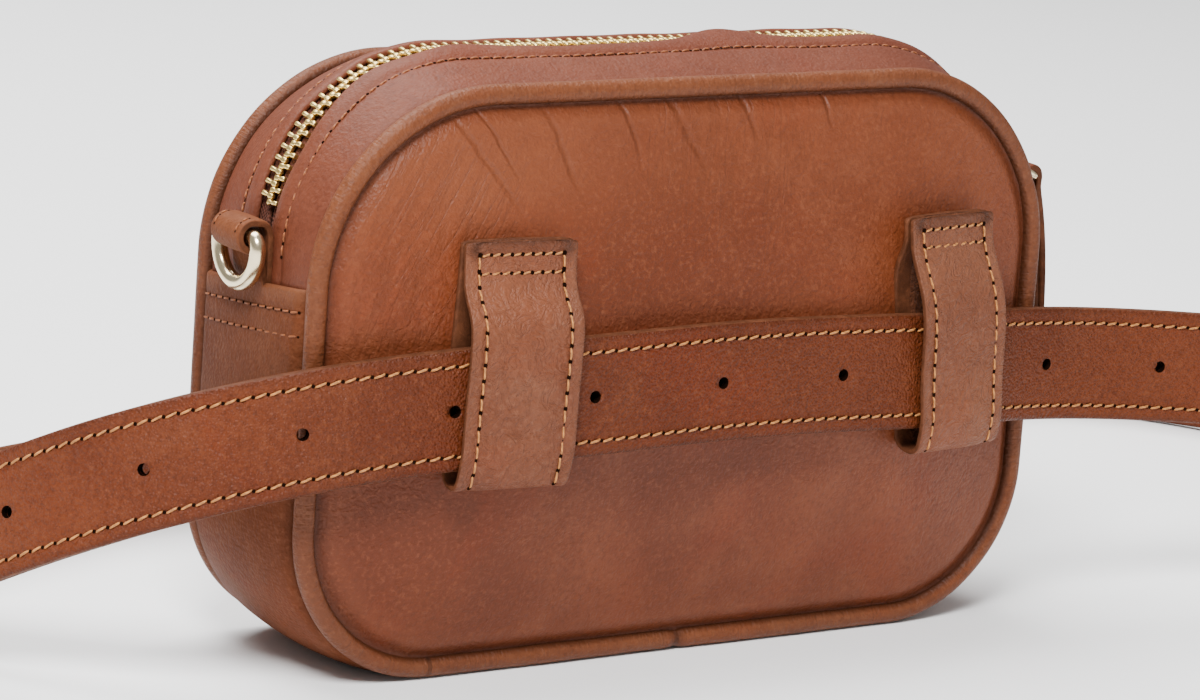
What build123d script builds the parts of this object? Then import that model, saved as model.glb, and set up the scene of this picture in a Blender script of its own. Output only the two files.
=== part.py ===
from build123d import *
import os
from math import asin, cos, degrees, radians, sin

# A leather waist pack on its belt. X runs along the bag, +Y points away from the wearer,
# Z is up, and the origin is the middle of the flat underside. All sizes are in millimetres.

# ---- the bag's outline and depth
BAG_WIDTH = 203.0
BAG_HEIGHT = 135.0
TOP_RADIUS = 45.0
BOTTOM_RADIUS = 37.0
LEAST_RADIUS = 4.0
RIM_Y = 24.0  # from the middle of the bag to the middle of each row of piping
ZIP_RISE = 6.4  # how far the zip stands higher than the rims

# ---- leather, cloth and the gaps between layers
GUSSET_LEATHER = 1.8
STRIP_LEATHER = 1.7
PANEL_LEATHER = 1.6
PIPING_RADIUS = 2.4
CORD_RADIUS = 1.45
LINING_CLOTH = 0.5
BOARD = 1.1
LAYER_GAP = 0.1
SEAM_ALLOWANCE = 12.0
FLOOR_GAP = 0.2  # the rims of piping stand this far above the floor
EDGE_BEFORE_RIM = 1.1  # a turned edge stops this far short of the rim plane
GLUE_SIDE = 2.0  # how far a turned edge reaches in past the piping

# ---- bulge of the two panels: (distance in from the outline, distance beyond the rim plane)
PANEL_BULGE = ((5.4, 2.0), (12.0, 4.0), (22.0, 6.2), (36.0, 8.6), (50.0, 11.0), (62.0, 13.0))
PANEL_SEAT = 0.9  # the panel's edge starts this far outside the rim plane

# ---- zip
ZIP_SLOT = 9.0
TAPE_WIDTH = 12.0
TAPE_CLOTH = 0.6
TAPE_SLIT = 1.6
TOOTH_PITCH = 2.8
TOOTH_SIZE = (1.2, 2.9, 1.9)  # along the zip, across it, and thickness
FIRST_TOOTH = 0.25  # of a pitch, from the end of the chain
CHAIN_PAST_SLIDER = 0.3  # of the slider's half span
ZIP_END_Z = BAG_HEIGHT - 30.5
SLIDER_ANGLE = 18.0  # of the closed slider, up from the corner's side
SLIDER_HALF_SPAN = 6.5
SLIDER_PLATE = 1.25
SLIDER_GAP = 0.35
SLIDER_SIDE = 4.0  # half its width
WEDGE_SPAN = 2.5  # degrees of the post that joins the slider's two plates
WEDGE_PLAY = 0.3
BAIL_WIDTH = 2.4
BAIL_ROOM = 2.6
BAIL_WIRE = 1.0
BAIL_SHARE = 0.75  # of the slider's half span
BAIL_LEG = 1.6  # degrees
STOP_SPAN = (3.4, 0.8)  # degrees before the slider's lower end
LINK_WIRE = 0.8
LINK_LENGTH = 16.0
LINK_DROP = -29.0
LINK_CORNER = 1.8
PULL_PLAY = 0.4
PULL_HOLE_PLAY = 0.3
PULL_CORNER = 3.0
PULL_WIDTH = 10.0
PULL_PLY = 1.8
PULL_END_Z = BAG_HEIGHT - 71.0

# ---- D-rings and their tabs
RING_WIRE = 1.8
RING_DEPTH = 11.2
RING_OUT = 3.7  # bar centre, out from the bag's side
RING_Z = BAG_HEIGHT - 35.7
RING_PLAY = 0.4
TAB_WIDTH = 12.4
RING_SIDE_PLAY = 0.3  # between the tab and each arm of its ring
RING_ARM_Y = TAB_WIDTH / 2 + RING_WIRE + RING_SIDE_PLAY
TAB_LEATHER = 1.7
RING_CORNER = 2.4

# ---- bottom gusset's folded edge, sewn over the ends of the zip strips
GUSSET_TOP = BAG_HEIGHT - 46.5
TUCK = 10.0
LINING_ZIP_GAP = 7.0
LINING_BELOW_TAPE = 3.0
BOARD_MARGIN = 2.0
BOARD_CORNER = 5.0
PIPING_ROOT = 0.6  # how deep the flange runs into the piping's tube
FLANGE_START = 1.4
CORD_PLAY = 0.03

# ---- belt
BELT_WIDTH = 27.0
BELT_PLY = 1.9
PLY_GAP = 0.05
HOLE_PITCH = 34.6
HOLE_RADIUS = 1.4
HOLES_TO_BUCKLE = 9
MIDDLE_HOLE = 16  # the route point that the row of holes is counted from
TIP_LENGTH = 26.0
TIP_RADIUS = 11.0

# ---- belt loops
LOOP_WIDTH = 28.5
LOOP_LEATHER = 2.0
LOOP_BACK_LEATHER = 1.1
LOOP_PLAY = 2.1
LOOP_TOP = BAG_HEIGHT - 32.0
LOOP_SEAM = 9.0  # height of the sewn top, where both layers meet
LOOP_ROOM_BELOW_SEAM = 3.0
LOOP_TIP = 0.5  # width of the hollow at its top
# middle of each loop along X, and how far it turns to follow the belt
LOOPS = {"left": (-56.5, -6.5), "right": (66.0, 10.5)}

# ---- buckle and keeper
BUCKLE_WIRE = 1.75
BUCKLE_LENGTH = 28.0
BUCKLE_SIDE_GAP = 1.6
BAR_PLAY = 0.35
BAR_FROM_START = 8.5
PRONG_SLOT = 4.4
PRONG_SLOT_REACH = 6.5
PRONG_REST = 0.2
PRONG_RADIUS = 1.3
PRONG_PAST_FRAME = 0.6
KEEPER_WIDTH = 9.0
KEEPER_LEATHER = 1.5
KEEPER_GAP = 0.4
KEEPER_ROOM = 4.7
KEEPER_FROM_BAR = 44.0

# ---- the belt's route: its middle line from the buckle, round the bag's front to the left hand
# side of the wearer, through both loops, and back round to the tip
BELT_START = Vector(62, 141, 19)
STRAIGHT_RUN = 62.0
ROUTE_LAID = (
    (160, 145, 17), (204, 152, 14.4), (240, 147, 14), (268, 123, 14), (284, 88, 15.5),
    (288, 48, 20), (280, 9, 28), (261, -22, 37.5), (232, -41, 47), (199, -46.5, 54),
    (165, -41, 58.2), (131, -32.8, 60.9), (96.7, -31.4, 63.3), (64.5, -38.4, 65.6),
    (31.3, -40.7, 67.3), (-3.1, -41.7, 68), (-37.3, -41.6, 67.2), (-72.2, -38.2, 65.5),
    (-104.2, -31.2, 61.3), (-133, -14.6, 51.6), (-152.7, 12, 36.4), (-163, 38, 22.5),
    (-160, 64, 15), (-140, 86, 14), (-108, 100, 14), (-58, 113, 14), (-12, 120, 14),
)
ROUTE_BAG = (203.0, 135.0)  # width and height of the bag that the route was laid round
ROUTE_Z = (14.0, 68.0)  # height of the belt where it lies lowest, and in the loops
# lean of the belt's top edge towards the inside of its ring: (share of the length, degrees)
BELT_LEAN = (
    (0, 0), (0.07, 0), (0.16, 10), (0.3, 6), (0.45, 3), (0.69, 3), (0.8, 13), (0.9, 10), (1, 10),
)


def laid(x, y, z):
    """A point of the route, spread and lifted as the bag grows, and in place where it lies low."""
    share = max(-1.0, min(1.0, 2 * x / ROUTE_BAG[0]))
    raised = (z - ROUTE_Z[0]) / (ROUTE_Z[1] - ROUTE_Z[0])
    return (x + share * (BAG_WIDTH - ROUTE_BAG[0]) / 2, y, z + raised * (BAG_HEIGHT - ROUTE_BAG[1]))


BELT_ROUTE = [laid(*point) for point in ROUTE_LAID]
HALF_WIDTH = BAG_WIDTH / 2
FLANGE_Y = (RIM_Y - PIPING_RADIUS - LAYER_GAP, RIM_Y - EDGE_BEFORE_RIM)
INNER_Y = FLANGE_Y[0] - STRIP_LEATHER - LAYER_GAP  # where the turned edges' inner faces are
PIPING_INSET = PIPING_RADIUS + FLOOR_GAP
PIPING_TO = PIPING_INSET + PIPING_RADIUS  # the inner side of the piping, from the outline
STRIP_INSET = GUSSET_LEATHER + LAYER_GAP
TAPE_INSET = STRIP_INSET + STRIP_LEATHER + LAYER_GAP
LINING_INSET = TAPE_INSET + TAPE_CLOTH + LAYER_GAP
SLOT_Y = ZIP_SLOT / 2
HALF_PITCH = HOLE_PITCH / 2
PLY_LEATHER = BELT_PLY - PLY_GAP / 2
SIDES = {"back": -1, "front": 1}

os.makedirs("parts", exist_ok=True)


def save(piece, name):
    """Label a finished piece and write its file."""
    piece.part.label = name
    export_step(piece.part, f"parts/{name}.step")


def outline(y, inset, rise=0.0):
    """The bag's rounded outline in the plane at y, drawn in by inset, its top higher by rise."""
    side = HALF_WIDTH - inset
    low = inset
    high = BAG_HEIGHT + rise - inset
    least = min(LEAST_RADIUS, (high - low) / 3)
    top = max(TOP_RADIUS - inset, least)
    foot = max(BOTTOM_RADIUS - inset, least)
    with BuildSketch(Plane.XZ.offset(-y)) as face:
        with BuildLine():
            Line((-side + foot, low), (side - foot, low))
            CenterArc((side - foot, low + foot), foot, -90, 90)
            Line((side, low + foot), (side, high - top))
            CenterArc((side - top, high - top), top, 0, 90)
            Line((side - top, high), (-side + top, high))
            CenterArc((-side + top, high - top), top, 90, 90)
            Line((-side, high - top), (-side, low + foot))
            CenterArc((-side + foot, low + foot), foot, 180, 90)
        make_face()
    return face.sketch


def slab(y_from, y_to, inset, rise=0.0):
    """A block of the bag's outline between two depths."""
    with BuildPart() as block:
        extrude(outline(max(y_from, y_to), inset, rise), amount=abs(y_to - y_from))
    return block.part


def band(y_from, y_to, inset, thickness, rise=0.0):
    """A closed band that follows the outline, between two depths."""
    with BuildPart() as hoop:
        add(slab(y_from, y_to, inset, rise))
        add(slab(y_from, y_to, inset + thickness, rise), mode=Mode.SUBTRACT)
    return hoop.part


def tent(stations):
    """A block lofted through outlines at (y, inset, rise) stations."""
    with BuildPart() as block:
        loft([outline(*station) for station in stations], ruled=True)
    return block.part


def block_between(low, high):
    """A plain box between two opposite corners."""
    size = [abs(b - a) for a, b in zip(low, high)]
    middle = [(a + b) / 2 for a, b in zip(low, high)]
    return Pos(*middle) * Box(*size, mode=Mode.PRIVATE)


# ======== the two panels, bulged by what the bag holds ========
def bulge_stations(side, shift, first_inset):
    """Outlines of a panel's dome, moved outwards by shift and starting at first_inset."""
    deepest = BAG_HEIGHT / 2 - LEAST_RADIUS
    kept = [(i, d) for i, d in PANEL_BULGE if first_inset < i < deepest]
    start = [(first_inset, bulge_at(first_inset))]
    return [(side * (RIM_Y + d + shift), i, 0) for i, d in start + kept]


def bulge_at(inset):
    """How far the dome stands beyond the rim plane at a distance in from the outline."""
    for (i0, d0), (i1, d1) in zip(PANEL_BULGE, PANEL_BULGE[1:]):
        if inset <= i1:
            return d0 + (d1 - d0) * (inset - i0) / (i1 - i0)
    return PANEL_BULGE[-1][1]


def dome(side, shift, first_inset, base_y):
    """A solid dome of a panel, from a flat base to its crown."""
    return tent([(side * base_y, first_inset, 0)] + bulge_stations(side, shift, first_inset))


PANEL_EDGE = PANEL_BULGE[0][0]
for name, side in SIDES.items():
    with BuildPart() as panel:
        add(dome(side, 0, PANEL_EDGE, RIM_Y + PANEL_SEAT))
        hollow = dome(side, -PANEL_LEATHER, SEAM_ALLOWANCE, RIM_Y)
        add(hollow, mode=Mode.SUBTRACT)
    save(panel, f"{name}_panel")

    with BuildPart() as lining:
        wall = SEAM_ALLOWANCE + LAYER_GAP
        base = INNER_Y - LINING_CLOTH
        back_off = PANEL_LEATHER + LAYER_GAP
        add(dome(side, -back_off, wall, base))
        add(dome(side, -back_off - LINING_CLOTH, wall + LINING_CLOTH, base), mode=Mode.SUBTRACT)
        add(band(side * base, side * INNER_Y, LINING_INSET + 1, wall - LINING_INSET - 1))
    save(lining, f"{name}_lining")


# ======== the bottom gusset: underside and both sides, with its edges turned in ========
def turned_edge(side, inset, leather):
    """The gusset's edge, turned in behind the piping and sewn into the seam."""
    near, far = FLANGE_Y
    with BuildPart() as edge:
        add(band(side * (near - leather), side * near, inset, PIPING_TO + GLUE_SIDE - inset))
        start = PIPING_TO + LAYER_GAP
        add(band(side * near, side * far, start, SEAM_ALLOWANCE - start))
    return edge.part


with BuildPart() as bottom_gusset:
    add(band(-FLANGE_Y[0], FLANGE_Y[0], 0, GUSSET_LEATHER))
    for side in SIDES.values():
        add(turned_edge(side, 0, STRIP_LEATHER))
    split(bisect_by=Plane.XY.offset(GUSSET_TOP), keep=Keep.BOTTOM)
save(bottom_gusset, "bottom_gusset")


# ======== the two strips that carry the zip over the top ========
def zip_tent(side, inset, y_outer, rise_outer):
    """A block under the sloping strip, from y_outer in to the zip slot's edge."""
    return tent([(side * y_outer, inset, rise_outer), (side * SLOT_Y, inset, ZIP_RISE)])


def rise_at(y):
    """Height of the sloping strip above the outline, at a depth."""
    return ZIP_RISE * (FLANGE_Y[0] - y) / (FLANGE_Y[0] - SLOT_Y)


for name, side in SIDES.items():
    with BuildPart() as strip:
        add(zip_tent(side, STRIP_INSET, FLANGE_Y[0], 0))
        add(zip_tent(side, STRIP_INSET + STRIP_LEATHER, FLANGE_Y[0], 0), mode=Mode.SUBTRACT)
        add(turned_edge(side, STRIP_INSET, STRIP_LEATHER))
        split(bisect_by=Plane.XY.offset(GUSSET_TOP + LAYER_GAP), keep=Keep.TOP)
        for end in (-1, 1):
            outer_x = end * (HALF_WIDTH - STRIP_INSET)
            inner_x = outer_x - end * STRIP_LEATHER
            add(block_between((inner_x, side * SLOT_Y, GUSSET_TOP - TUCK),
                              (outer_x, side * INNER_Y, GUSSET_TOP + 2 * LAYER_GAP)))
    save(strip, f"zip_strip_{name}")

    with BuildPart() as tape:
        tape_y = SLOT_Y + TAPE_WIDTH - (ZIP_SLOT - TAPE_SLIT) / 2
        for inset, mode in ((TAPE_INSET, Mode.ADD), (TAPE_INSET + TAPE_CLOTH, Mode.SUBTRACT)):
            add(zip_tent(side, inset, tape_y, rise_at(tape_y)), mode=mode)
            add(slab(side * TAPE_SLIT / 2, side * SLOT_Y, inset, ZIP_RISE), mode=mode)
        split(bisect_by=Plane.XY.offset(GUSSET_TOP - TUCK), keep=Keep.TOP)
    save(tape, f"zip_tape_{name}")


# ======== zip teeth, stops and slider ========
# x and z of the middle of the right-hand top corner, level with the zip
CORNER = (HALF_WIDTH - TOP_RADIUS, BAG_HEIGHT + ZIP_RISE - TOP_RADIUS)
TOOTH_MID_INSET = TAPE_INSET - LAYER_GAP / 2 - TOOTH_SIZE[2] / 2
TOOTH_RADIUS = TOP_RADIUS - TOOTH_MID_INSET
END_ANGLE = degrees(asin((ZIP_END_Z - CORNER[1]) / TOOTH_RADIUS))
RIGHT_END_ANGLE = SLIDER_ANGLE + SLIDER_HALF_SPAN * CHAIN_PAST_SLIDER
TOOTH_Y = (TAPE_SLIT + TOOTH_SIZE[1]) / 2

with BuildLine(Plane.XZ) as chain:
    CenterArc(CORNER, TOOTH_RADIUS, RIGHT_END_ANGLE, 90 - RIGHT_END_ANGLE)
    Line((CORNER[0], CORNER[1] + TOOTH_RADIUS), (-CORNER[0], CORNER[1] + TOOTH_RADIUS))
    CenterArc((-CORNER[0], CORNER[1]), TOOTH_RADIUS, 90, 90 - END_ANGLE)
chain_wire = chain.line.wires()[0]
tooth_count = int(chain_wire.length / TOOTH_PITCH)


def chain_plane(distance, y):
    """A plane on the chain: its x runs along the zip and its normal points out of the bag."""
    share = min(distance / chain_wire.length, 1.0)
    point = chain_wire.position_at(share)
    along = chain_wire.tangent_at(share)
    return Plane(origin=(point.X, y, point.Z), x_dir=along, z_dir=along.cross(Vector(0, 1, 0)))


for name, side in SIDES.items():
    shift = 0.0 if side < 0 else TOOTH_PITCH / 2
    distances = [shift + (n + FIRST_TOOTH) * TOOTH_PITCH for n in range(tooth_count - 1)]
    places = [Location(chain_plane(distance, side * TOOTH_Y)) for distance in distances]
    with BuildPart() as teeth:
        with Locations(*places):
            Box(*TOOTH_SIZE)
    save(teeth, f"zip_teeth_{name}")


def corner_point(angle, radius):
    """A point at an angle and radius round the right corner, as x and z."""
    return (CORNER[0] + radius * cos(radians(angle)), CORNER[1] + radius * sin(radians(angle)))


def corner_sector(angle_from, angle_to, r_in, r_out, y_half):
    """A block bent round the right corner, between two angles and radii."""
    with BuildPart() as sector:
        with BuildSketch(Plane.XZ.offset(-y_half)):
            with BuildLine():
                CenterArc(CORNER, r_out, angle_from, angle_to - angle_from)
                CenterArc(CORNER, r_in, angle_from, angle_to - angle_from)
                Line(corner_point(angle_from, r_in), corner_point(angle_from, r_out))
                Line(corner_point(angle_to, r_in), corner_point(angle_to, r_out))
            make_face()
        extrude(amount=2 * y_half)
    return sector.part


TEETH_OUT = TOOTH_RADIUS + TOOTH_SIZE[2] / 2
UNDER_TOP = TOP_RADIUS - TAPE_INSET - TAPE_CLOTH - SLIDER_GAP
PLATE_TOP = TEETH_OUT + SLIDER_GAP + SLIDER_PLATE
slider_ends = (SLIDER_ANGLE - SLIDER_HALF_SPAN, SLIDER_ANGLE + SLIDER_HALF_SPAN)
bail_ends = (SLIDER_ANGLE - SLIDER_HALF_SPAN * BAIL_SHARE, SLIDER_ANGLE + SLIDER_HALF_SPAN * BAIL_SHARE)
with BuildPart() as slider:
    add(corner_sector(*slider_ends, PLATE_TOP - SLIDER_PLATE, PLATE_TOP, SLIDER_SIDE))
    add(corner_sector(*slider_ends, UNDER_TOP - SLIDER_PLATE, UNDER_TOP, SLIDER_SIDE))
    add(corner_sector(slider_ends[0], slider_ends[0] + WEDGE_SPAN, UNDER_TOP, PLATE_TOP - SLIDER_PLATE,
                      TAPE_SLIT / 2 - WEDGE_PLAY))
    add(corner_sector(*bail_ends, PLATE_TOP, PLATE_TOP + BAIL_ROOM + BAIL_WIRE, BAIL_WIDTH / 2))
    add(corner_sector(bail_ends[0] + BAIL_LEG, bail_ends[1] - BAIL_LEG, PLATE_TOP, PLATE_TOP + BAIL_ROOM,
                      BAIL_WIDTH), mode=Mode.SUBTRACT)
save(slider, "zip_slider")

for name, side in SIDES.items():
    block = corner_sector(slider_ends[0] - STOP_SPAN[0], slider_ends[0] - STOP_SPAN[1],
                          TEETH_OUT - TOOTH_SIZE[2], TEETH_OUT, TOOTH_SIZE[1] / 2)
    with BuildPart() as stop:
        add(Pos(0, side * TOOTH_Y, 0) * block)
    save(stop, f"zip_stop_{name}")

# the pull's metal link, hooked under the slider's bail and hanging outwards
PIVOT = corner_point(SLIDER_ANGLE, PLATE_TOP + BAIL_ROOM / 2)
LINK_HALF = PULL_WIDTH / 2 + LINK_WIRE + PULL_PLAY
drop = (cos(radians(LINK_DROP)), sin(radians(LINK_DROP)))
link_end = (PIVOT[0] + LINK_LENGTH * drop[0], PIVOT[1] + LINK_LENGTH * drop[1])
with BuildPart() as link:
    link_plane = Plane(origin=(PIVOT[0], 0, PIVOT[1]), x_dir=(drop[0], 0, drop[1]),
                       z_dir=(-drop[1], 0, drop[0]))
    with BuildSketch(link_plane, mode=Mode.PRIVATE) as link_shape:
        with Locations((LINK_LENGTH / 2, 0)):
            RectangleRounded(LINK_LENGTH, 2 * LINK_HALF, LINK_CORNER)
    path = link_shape.sketch.face().outer_wire()
    with BuildSketch(Plane(origin=path.position_at(0), z_dir=path.tangent_at(0))):
        Circle(LINK_WIRE)
    sweep(path=path)
save(link, "zip_pull_link")

PULL_HOLE = LINK_WIRE + PULL_HOLE_PLAY
with BuildPart() as pull:
    with BuildSketch(Plane.XZ.offset(-PULL_WIDTH / 2)):
        with Locations(link_end):
            Circle(PULL_HOLE + PULL_PLY)
        with Locations((link_end[0], (link_end[1] + PULL_END_Z) / 2)):
            Rectangle(2 * PULL_PLY, link_end[1] - PULL_END_Z)
        with Locations(link_end):
            Circle(PULL_HOLE, mode=Mode.SUBTRACT)
    extrude(amount=PULL_WIDTH)
    lower_corners = pull.edges().filter_by(Axis.X).group_by(Axis.Z)[0]
    fillet(lower_corners, PULL_CORNER)
save(pull, "zip_pull_leather")


# ======== piping: a leather tube over a cord, with its flange in the seam ========
for name, side in SIDES.items():
    with BuildLine(Plane.XZ.offset(-side * RIM_Y)) as rim_line:
        add(outline(0, PIPING_INSET).wires()[0].moved(Location((0, side * RIM_Y, 0))))
    rim = rim_line.line.wires()[0]
    start = Plane(origin=rim.position_at(0), z_dir=rim.tangent_at(0))
    with BuildPart() as core:
        with BuildSketch(start):
            Circle(CORD_RADIUS)
        sweep(path=rim)
    save(core, f"{name}_piping_cord")
    with BuildPart() as piping:
        with BuildSketch(start):
            Circle(PIPING_RADIUS)
        sweep(path=rim)
        flange_from = RIM_Y - PIPING_RADIUS + FLANGE_START
        flange_inset = PIPING_TO - PIPING_ROOT
        add(band(side * flange_from, side * (RIM_Y + PANEL_SEAT - LAYER_GAP), flange_inset,
                 SEAM_ALLOWANCE - flange_inset))
        with BuildSketch(start):
            Circle(CORD_RADIUS + CORD_PLAY)
        sweep(path=rim, mode=Mode.SUBTRACT)
    save(piping, f"{name}_piping")


# ======== inside: gusset lining and the board in the base ========
LINING_Y = INNER_Y - LINING_CLOTH - 2 * LAYER_GAP
with BuildPart() as gusset_lining:
    add(band(-LINING_Y, LINING_Y, LINING_INSET, LINING_CLOTH))
    add(block_between((-HALF_WIDTH, -LINING_ZIP_GAP, GUSSET_TOP - TUCK - LINING_BELOW_TAPE),
                      (HALF_WIDTH, LINING_ZIP_GAP, BAG_HEIGHT)), mode=Mode.SUBTRACT)
save(gusset_lining, "gusset_lining")

with BuildPart() as base_board:
    board_x = HALF_WIDTH - BOTTOM_RADIUS - BOARD_MARGIN
    with BuildSketch(Plane.XY.offset(GUSSET_LEATHER + LAYER_GAP)):
        RectangleRounded(2 * board_x, 2 * (INNER_Y - LAYER_GAP), BOARD_CORNER)
    extrude(amount=BOARD)
save(base_board, "base_board")


# ======== D-rings and the rolled tabs that hold them ========
RING_X = HALF_WIDTH + RING_OUT
for name, end in (("left", -1), ("right", 1)):
    with BuildPart() as ring:
        with BuildLine(Plane.YZ.offset(end * RING_X)) as ring_line:
            bar_end = RING_ARM_Y - RING_CORNER
            arm_top = RING_Z - RING_CORNER
            Line((-bar_end, RING_Z), (bar_end, RING_Z))
            RadiusArc((bar_end, RING_Z), (RING_ARM_Y, arm_top), RING_CORNER)
            ThreePointArc((RING_ARM_Y, arm_top), (0, RING_Z - RING_DEPTH), (-RING_ARM_Y, arm_top))
            RadiusArc((-RING_ARM_Y, arm_top), (-bar_end, RING_Z), RING_CORNER)
        ring_wire = ring_line.line.wires()[0]
        with BuildSketch(Plane(origin=ring_wire.position_at(0), z_dir=ring_wire.tangent_at(0))):
            Circle(RING_WIRE)
        sweep(path=ring_wire, transition=Transition.ROUND)
    save(ring, f"d_ring_{name}")

    with BuildPart() as tab:
        hole = RING_WIRE + RING_PLAY
        strip_face = HALF_WIDTH - STRIP_INSET + LAYER_GAP
        with BuildSketch(Plane.XZ.offset(-TAB_WIDTH / 2)):
            with Locations((end * RING_X, RING_Z)):
                Circle(hole + TAB_LEATHER)
            tail_mid = end * (strip_face + TAB_LEATHER)
            tail_low = GUSSET_TOP + LAYER_GAP
            with Locations((tail_mid, (RING_Z + tail_low) / 2)):
                Rectangle(2 * TAB_LEATHER, RING_Z - tail_low)
            with Locations((end * RING_X, RING_Z)):
                Circle(hole, mode=Mode.SUBTRACT)
        extrude(amount=TAB_WIDTH)
        keep_out = slab(-RIM_Y, RIM_Y, STRIP_INSET - LAYER_GAP, ZIP_RISE)
        add(keep_out, mode=Mode.SUBTRACT)
    save(tab, f"d_ring_tab_{name}")


# ======== belt: two plies along one route ========
straight_end = BELT_START + Vector(STRAIGHT_RUN, 0, 0)
with BuildLine() as belt_line:
    Line(BELT_START, straight_end)
    Spline(straight_end, *BELT_ROUTE, tangents=(Vector(1, 0, 0), Vector(1, 0.12, 0)))
belt_wire = belt_line.line.wires()[0]
belt_length = belt_wire.length
middle_hole = belt_length * belt_wire.param_at_point(Vector(*BELT_ROUTE[MIDDLE_HOLE]))


def lean_at(share):
    """The belt's lean at a share of its length."""
    for (s0, a0), (s1, a1) in zip(BELT_LEAN, BELT_LEAN[1:]):
        if share <= s1:
            return a0 + (a1 - a0) * (share - s0) / (s1 - s0)
    return BELT_LEAN[-1][1]


def belt_plane(distance):
    """A plane across the belt: x points to the outside of its ring and y along its width."""
    share = min(max(distance / belt_length, 0.0), 1.0)
    along = belt_wire.tangent_at(share)
    inward = along.cross(Vector(0, 0, 1)).normalized()
    upright = inward.cross(along)
    lean = radians(lean_at(share))
    width_dir = upright * cos(lean) + inward * sin(lean)
    return Plane(origin=belt_wire.position_at(share), x_dir=width_dir.cross(along), z_dir=along)


def belt_section(distance, side):
    """One ply's section: side 1 is the face, side -1 is the lining."""
    with BuildSketch(belt_plane(distance)) as section:
        with Locations((side * (PLY_GAP + PLY_LEATHER) / 2, 0)):
            Rectangle(PLY_LEATHER, BELT_WIDTH)
    return section.sketch


first = int(middle_hole / HALF_PITCH)
last = int((belt_length - middle_hole) / HALF_PITCH)
stations = [0.0]
stations += [middle_hole + (n + 0.5) * HALF_PITCH for n in range(-first, last)]
stations += [belt_length]
holes = [middle_hole + n * HOLE_PITCH for n in range(-HOLES_TO_BUCKLE, int(last / 2) + 1)]

BAR_X = BELT_START.X - BAR_FROM_START
FOLD_REACH = 0.2  # the fold's straight sides start this far inside its round
FOLD_INNER = BUCKLE_WIRE + BAR_PLAY
for name, side in (("face", 1), ("lining", -1)):
    tip_plane = belt_plane(belt_length)
    lying = Plane(origin=tip_plane.origin, x_dir=tip_plane.z_dir, z_dir=tip_plane.x_dir)
    with BuildPart() as ply:
        loft([belt_section(distance, side) for distance in stations], ruled=True)
        with BuildSketch(lying.offset(side * PLY_GAP / 2)) as tip:
            with Locations((TIP_LENGTH / 2, 0)):
                Rectangle(TIP_LENGTH, BELT_WIDTH)
            fillet(tip.vertices().group_by(Axis.X)[-1], TIP_RADIUS)
        extrude(amount=side * PLY_LEATHER)
        if side > 0:
            # the face ply folds round the buckle's bar, with a slot for the prong
            with BuildSketch(Plane.XY.offset(BELT_START.Z - BELT_WIDTH / 2)):
                with Locations((BAR_X, BELT_START.Y)):
                    Circle(FOLD_INNER + BELT_PLY)
                with BuildLine():
                    Polyline((BAR_X + 1, BELT_START.Y + FOLD_INNER + BELT_PLY - FOLD_REACH),
                             (BELT_START.X, BELT_START.Y + BELT_PLY),
                             (BELT_START.X, BELT_START.Y - BELT_PLY),
                             (BAR_X + 1, BELT_START.Y - FOLD_INNER - BELT_PLY + FOLD_REACH), close=True)
                make_face()
                with Locations((BAR_X, BELT_START.Y)):
                    Circle(FOLD_INNER, mode=Mode.SUBTRACT)
            extrude(amount=BELT_WIDTH)
            slot = Box(2 * PRONG_SLOT_REACH, 8 * BELT_PLY, PRONG_SLOT, mode=Mode.PRIVATE)
            add(Pos(BAR_X, BELT_START.Y, BELT_START.Z) * slot, mode=Mode.SUBTRACT)
        for distance in holes:
            across = belt_plane(distance)
            with Locations(Location(Plane(origin=across.origin, z_dir=across.x_dir))):
                Cylinder(HOLE_RADIUS, 6 * BELT_PLY, mode=Mode.SUBTRACT)
    save(ply, f"belt_{name}")


# ======== belt loops: folded strips sewn to the back panel ========
def belt_at(x):
    """Middle of the belt in front of the back panel, as y and z at x."""
    near = [point for point in BELT_ROUTE if point[1] < 0]
    for (x1, y1, z1), (x0, y0, z0) in zip(near, near[1:]):
        if x0 <= x <= x1:
            share = (x - x0) / (x1 - x0)
            return y0 + (y1 - y0) * share, z0 + (z1 - z0) * share
    return near[0][1:]


back_dome = dome(-1, PLY_GAP, PANEL_EDGE - PLY_GAP, 0)
for name, (x, turn) in LOOPS.items():
    belt_y, belt_z = belt_at(x)
    seat = RIM_Y + bulge_at(HALF_WIDTH - abs(x))
    front = BELT_PLY + LOOP_PLAY - belt_y
    back = seat + LOOP_BACK_LEATHER
    low = belt_z - BELT_WIDTH / 2 - LOOP_PLAY - LOOP_LEATHER
    bend = belt_z + BELT_WIDTH / 2 + LOOP_PLAY + LOOP_LEATHER / 2
    top_face = RIM_Y + bulge_at(BAG_HEIGHT - LOOP_TOP + LOOP_SEAM) + LOOP_BACK_LEATHER + LOOP_LEATHER
    seam = LOOP_TOP - LOOP_SEAM
    room_top = seam - LOOP_ROOM_BELOW_SEAM
    across = Vector(cos(radians(turn)), sin(radians(turn)), 0)
    out = Vector(sin(radians(turn)), -cos(radians(turn)), 0)
    middle = Vector(x, belt_y, 0) + out * belt_y
    profile = Plane(origin=middle + across * (LOOP_WIDTH / 2), x_dir=out, z_dir=across * -1)
    with BuildPart() as loop:
        with BuildSketch(profile):
            with BuildLine():
                Polyline((RIM_Y, low), (front + LOOP_LEATHER, low), (front + LOOP_LEATHER, bend),
                         (top_face, seam), (top_face, LOOP_TOP), (RIM_Y, LOOP_TOP), close=True)
            make_face()
            with BuildLine():
                Polyline((back, low + LOOP_LEATHER), (front, low + LOOP_LEATHER),
                         (front, bend - LOOP_LEATHER / 4), (back + LOOP_TIP, room_top),
                         (back, room_top), close=True)
            make_face(mode=Mode.SUBTRACT)
        extrude(amount=LOOP_WIDTH)
        add(back_dome, mode=Mode.SUBTRACT)
    save(loop, f"belt_loop_{name}")


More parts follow.
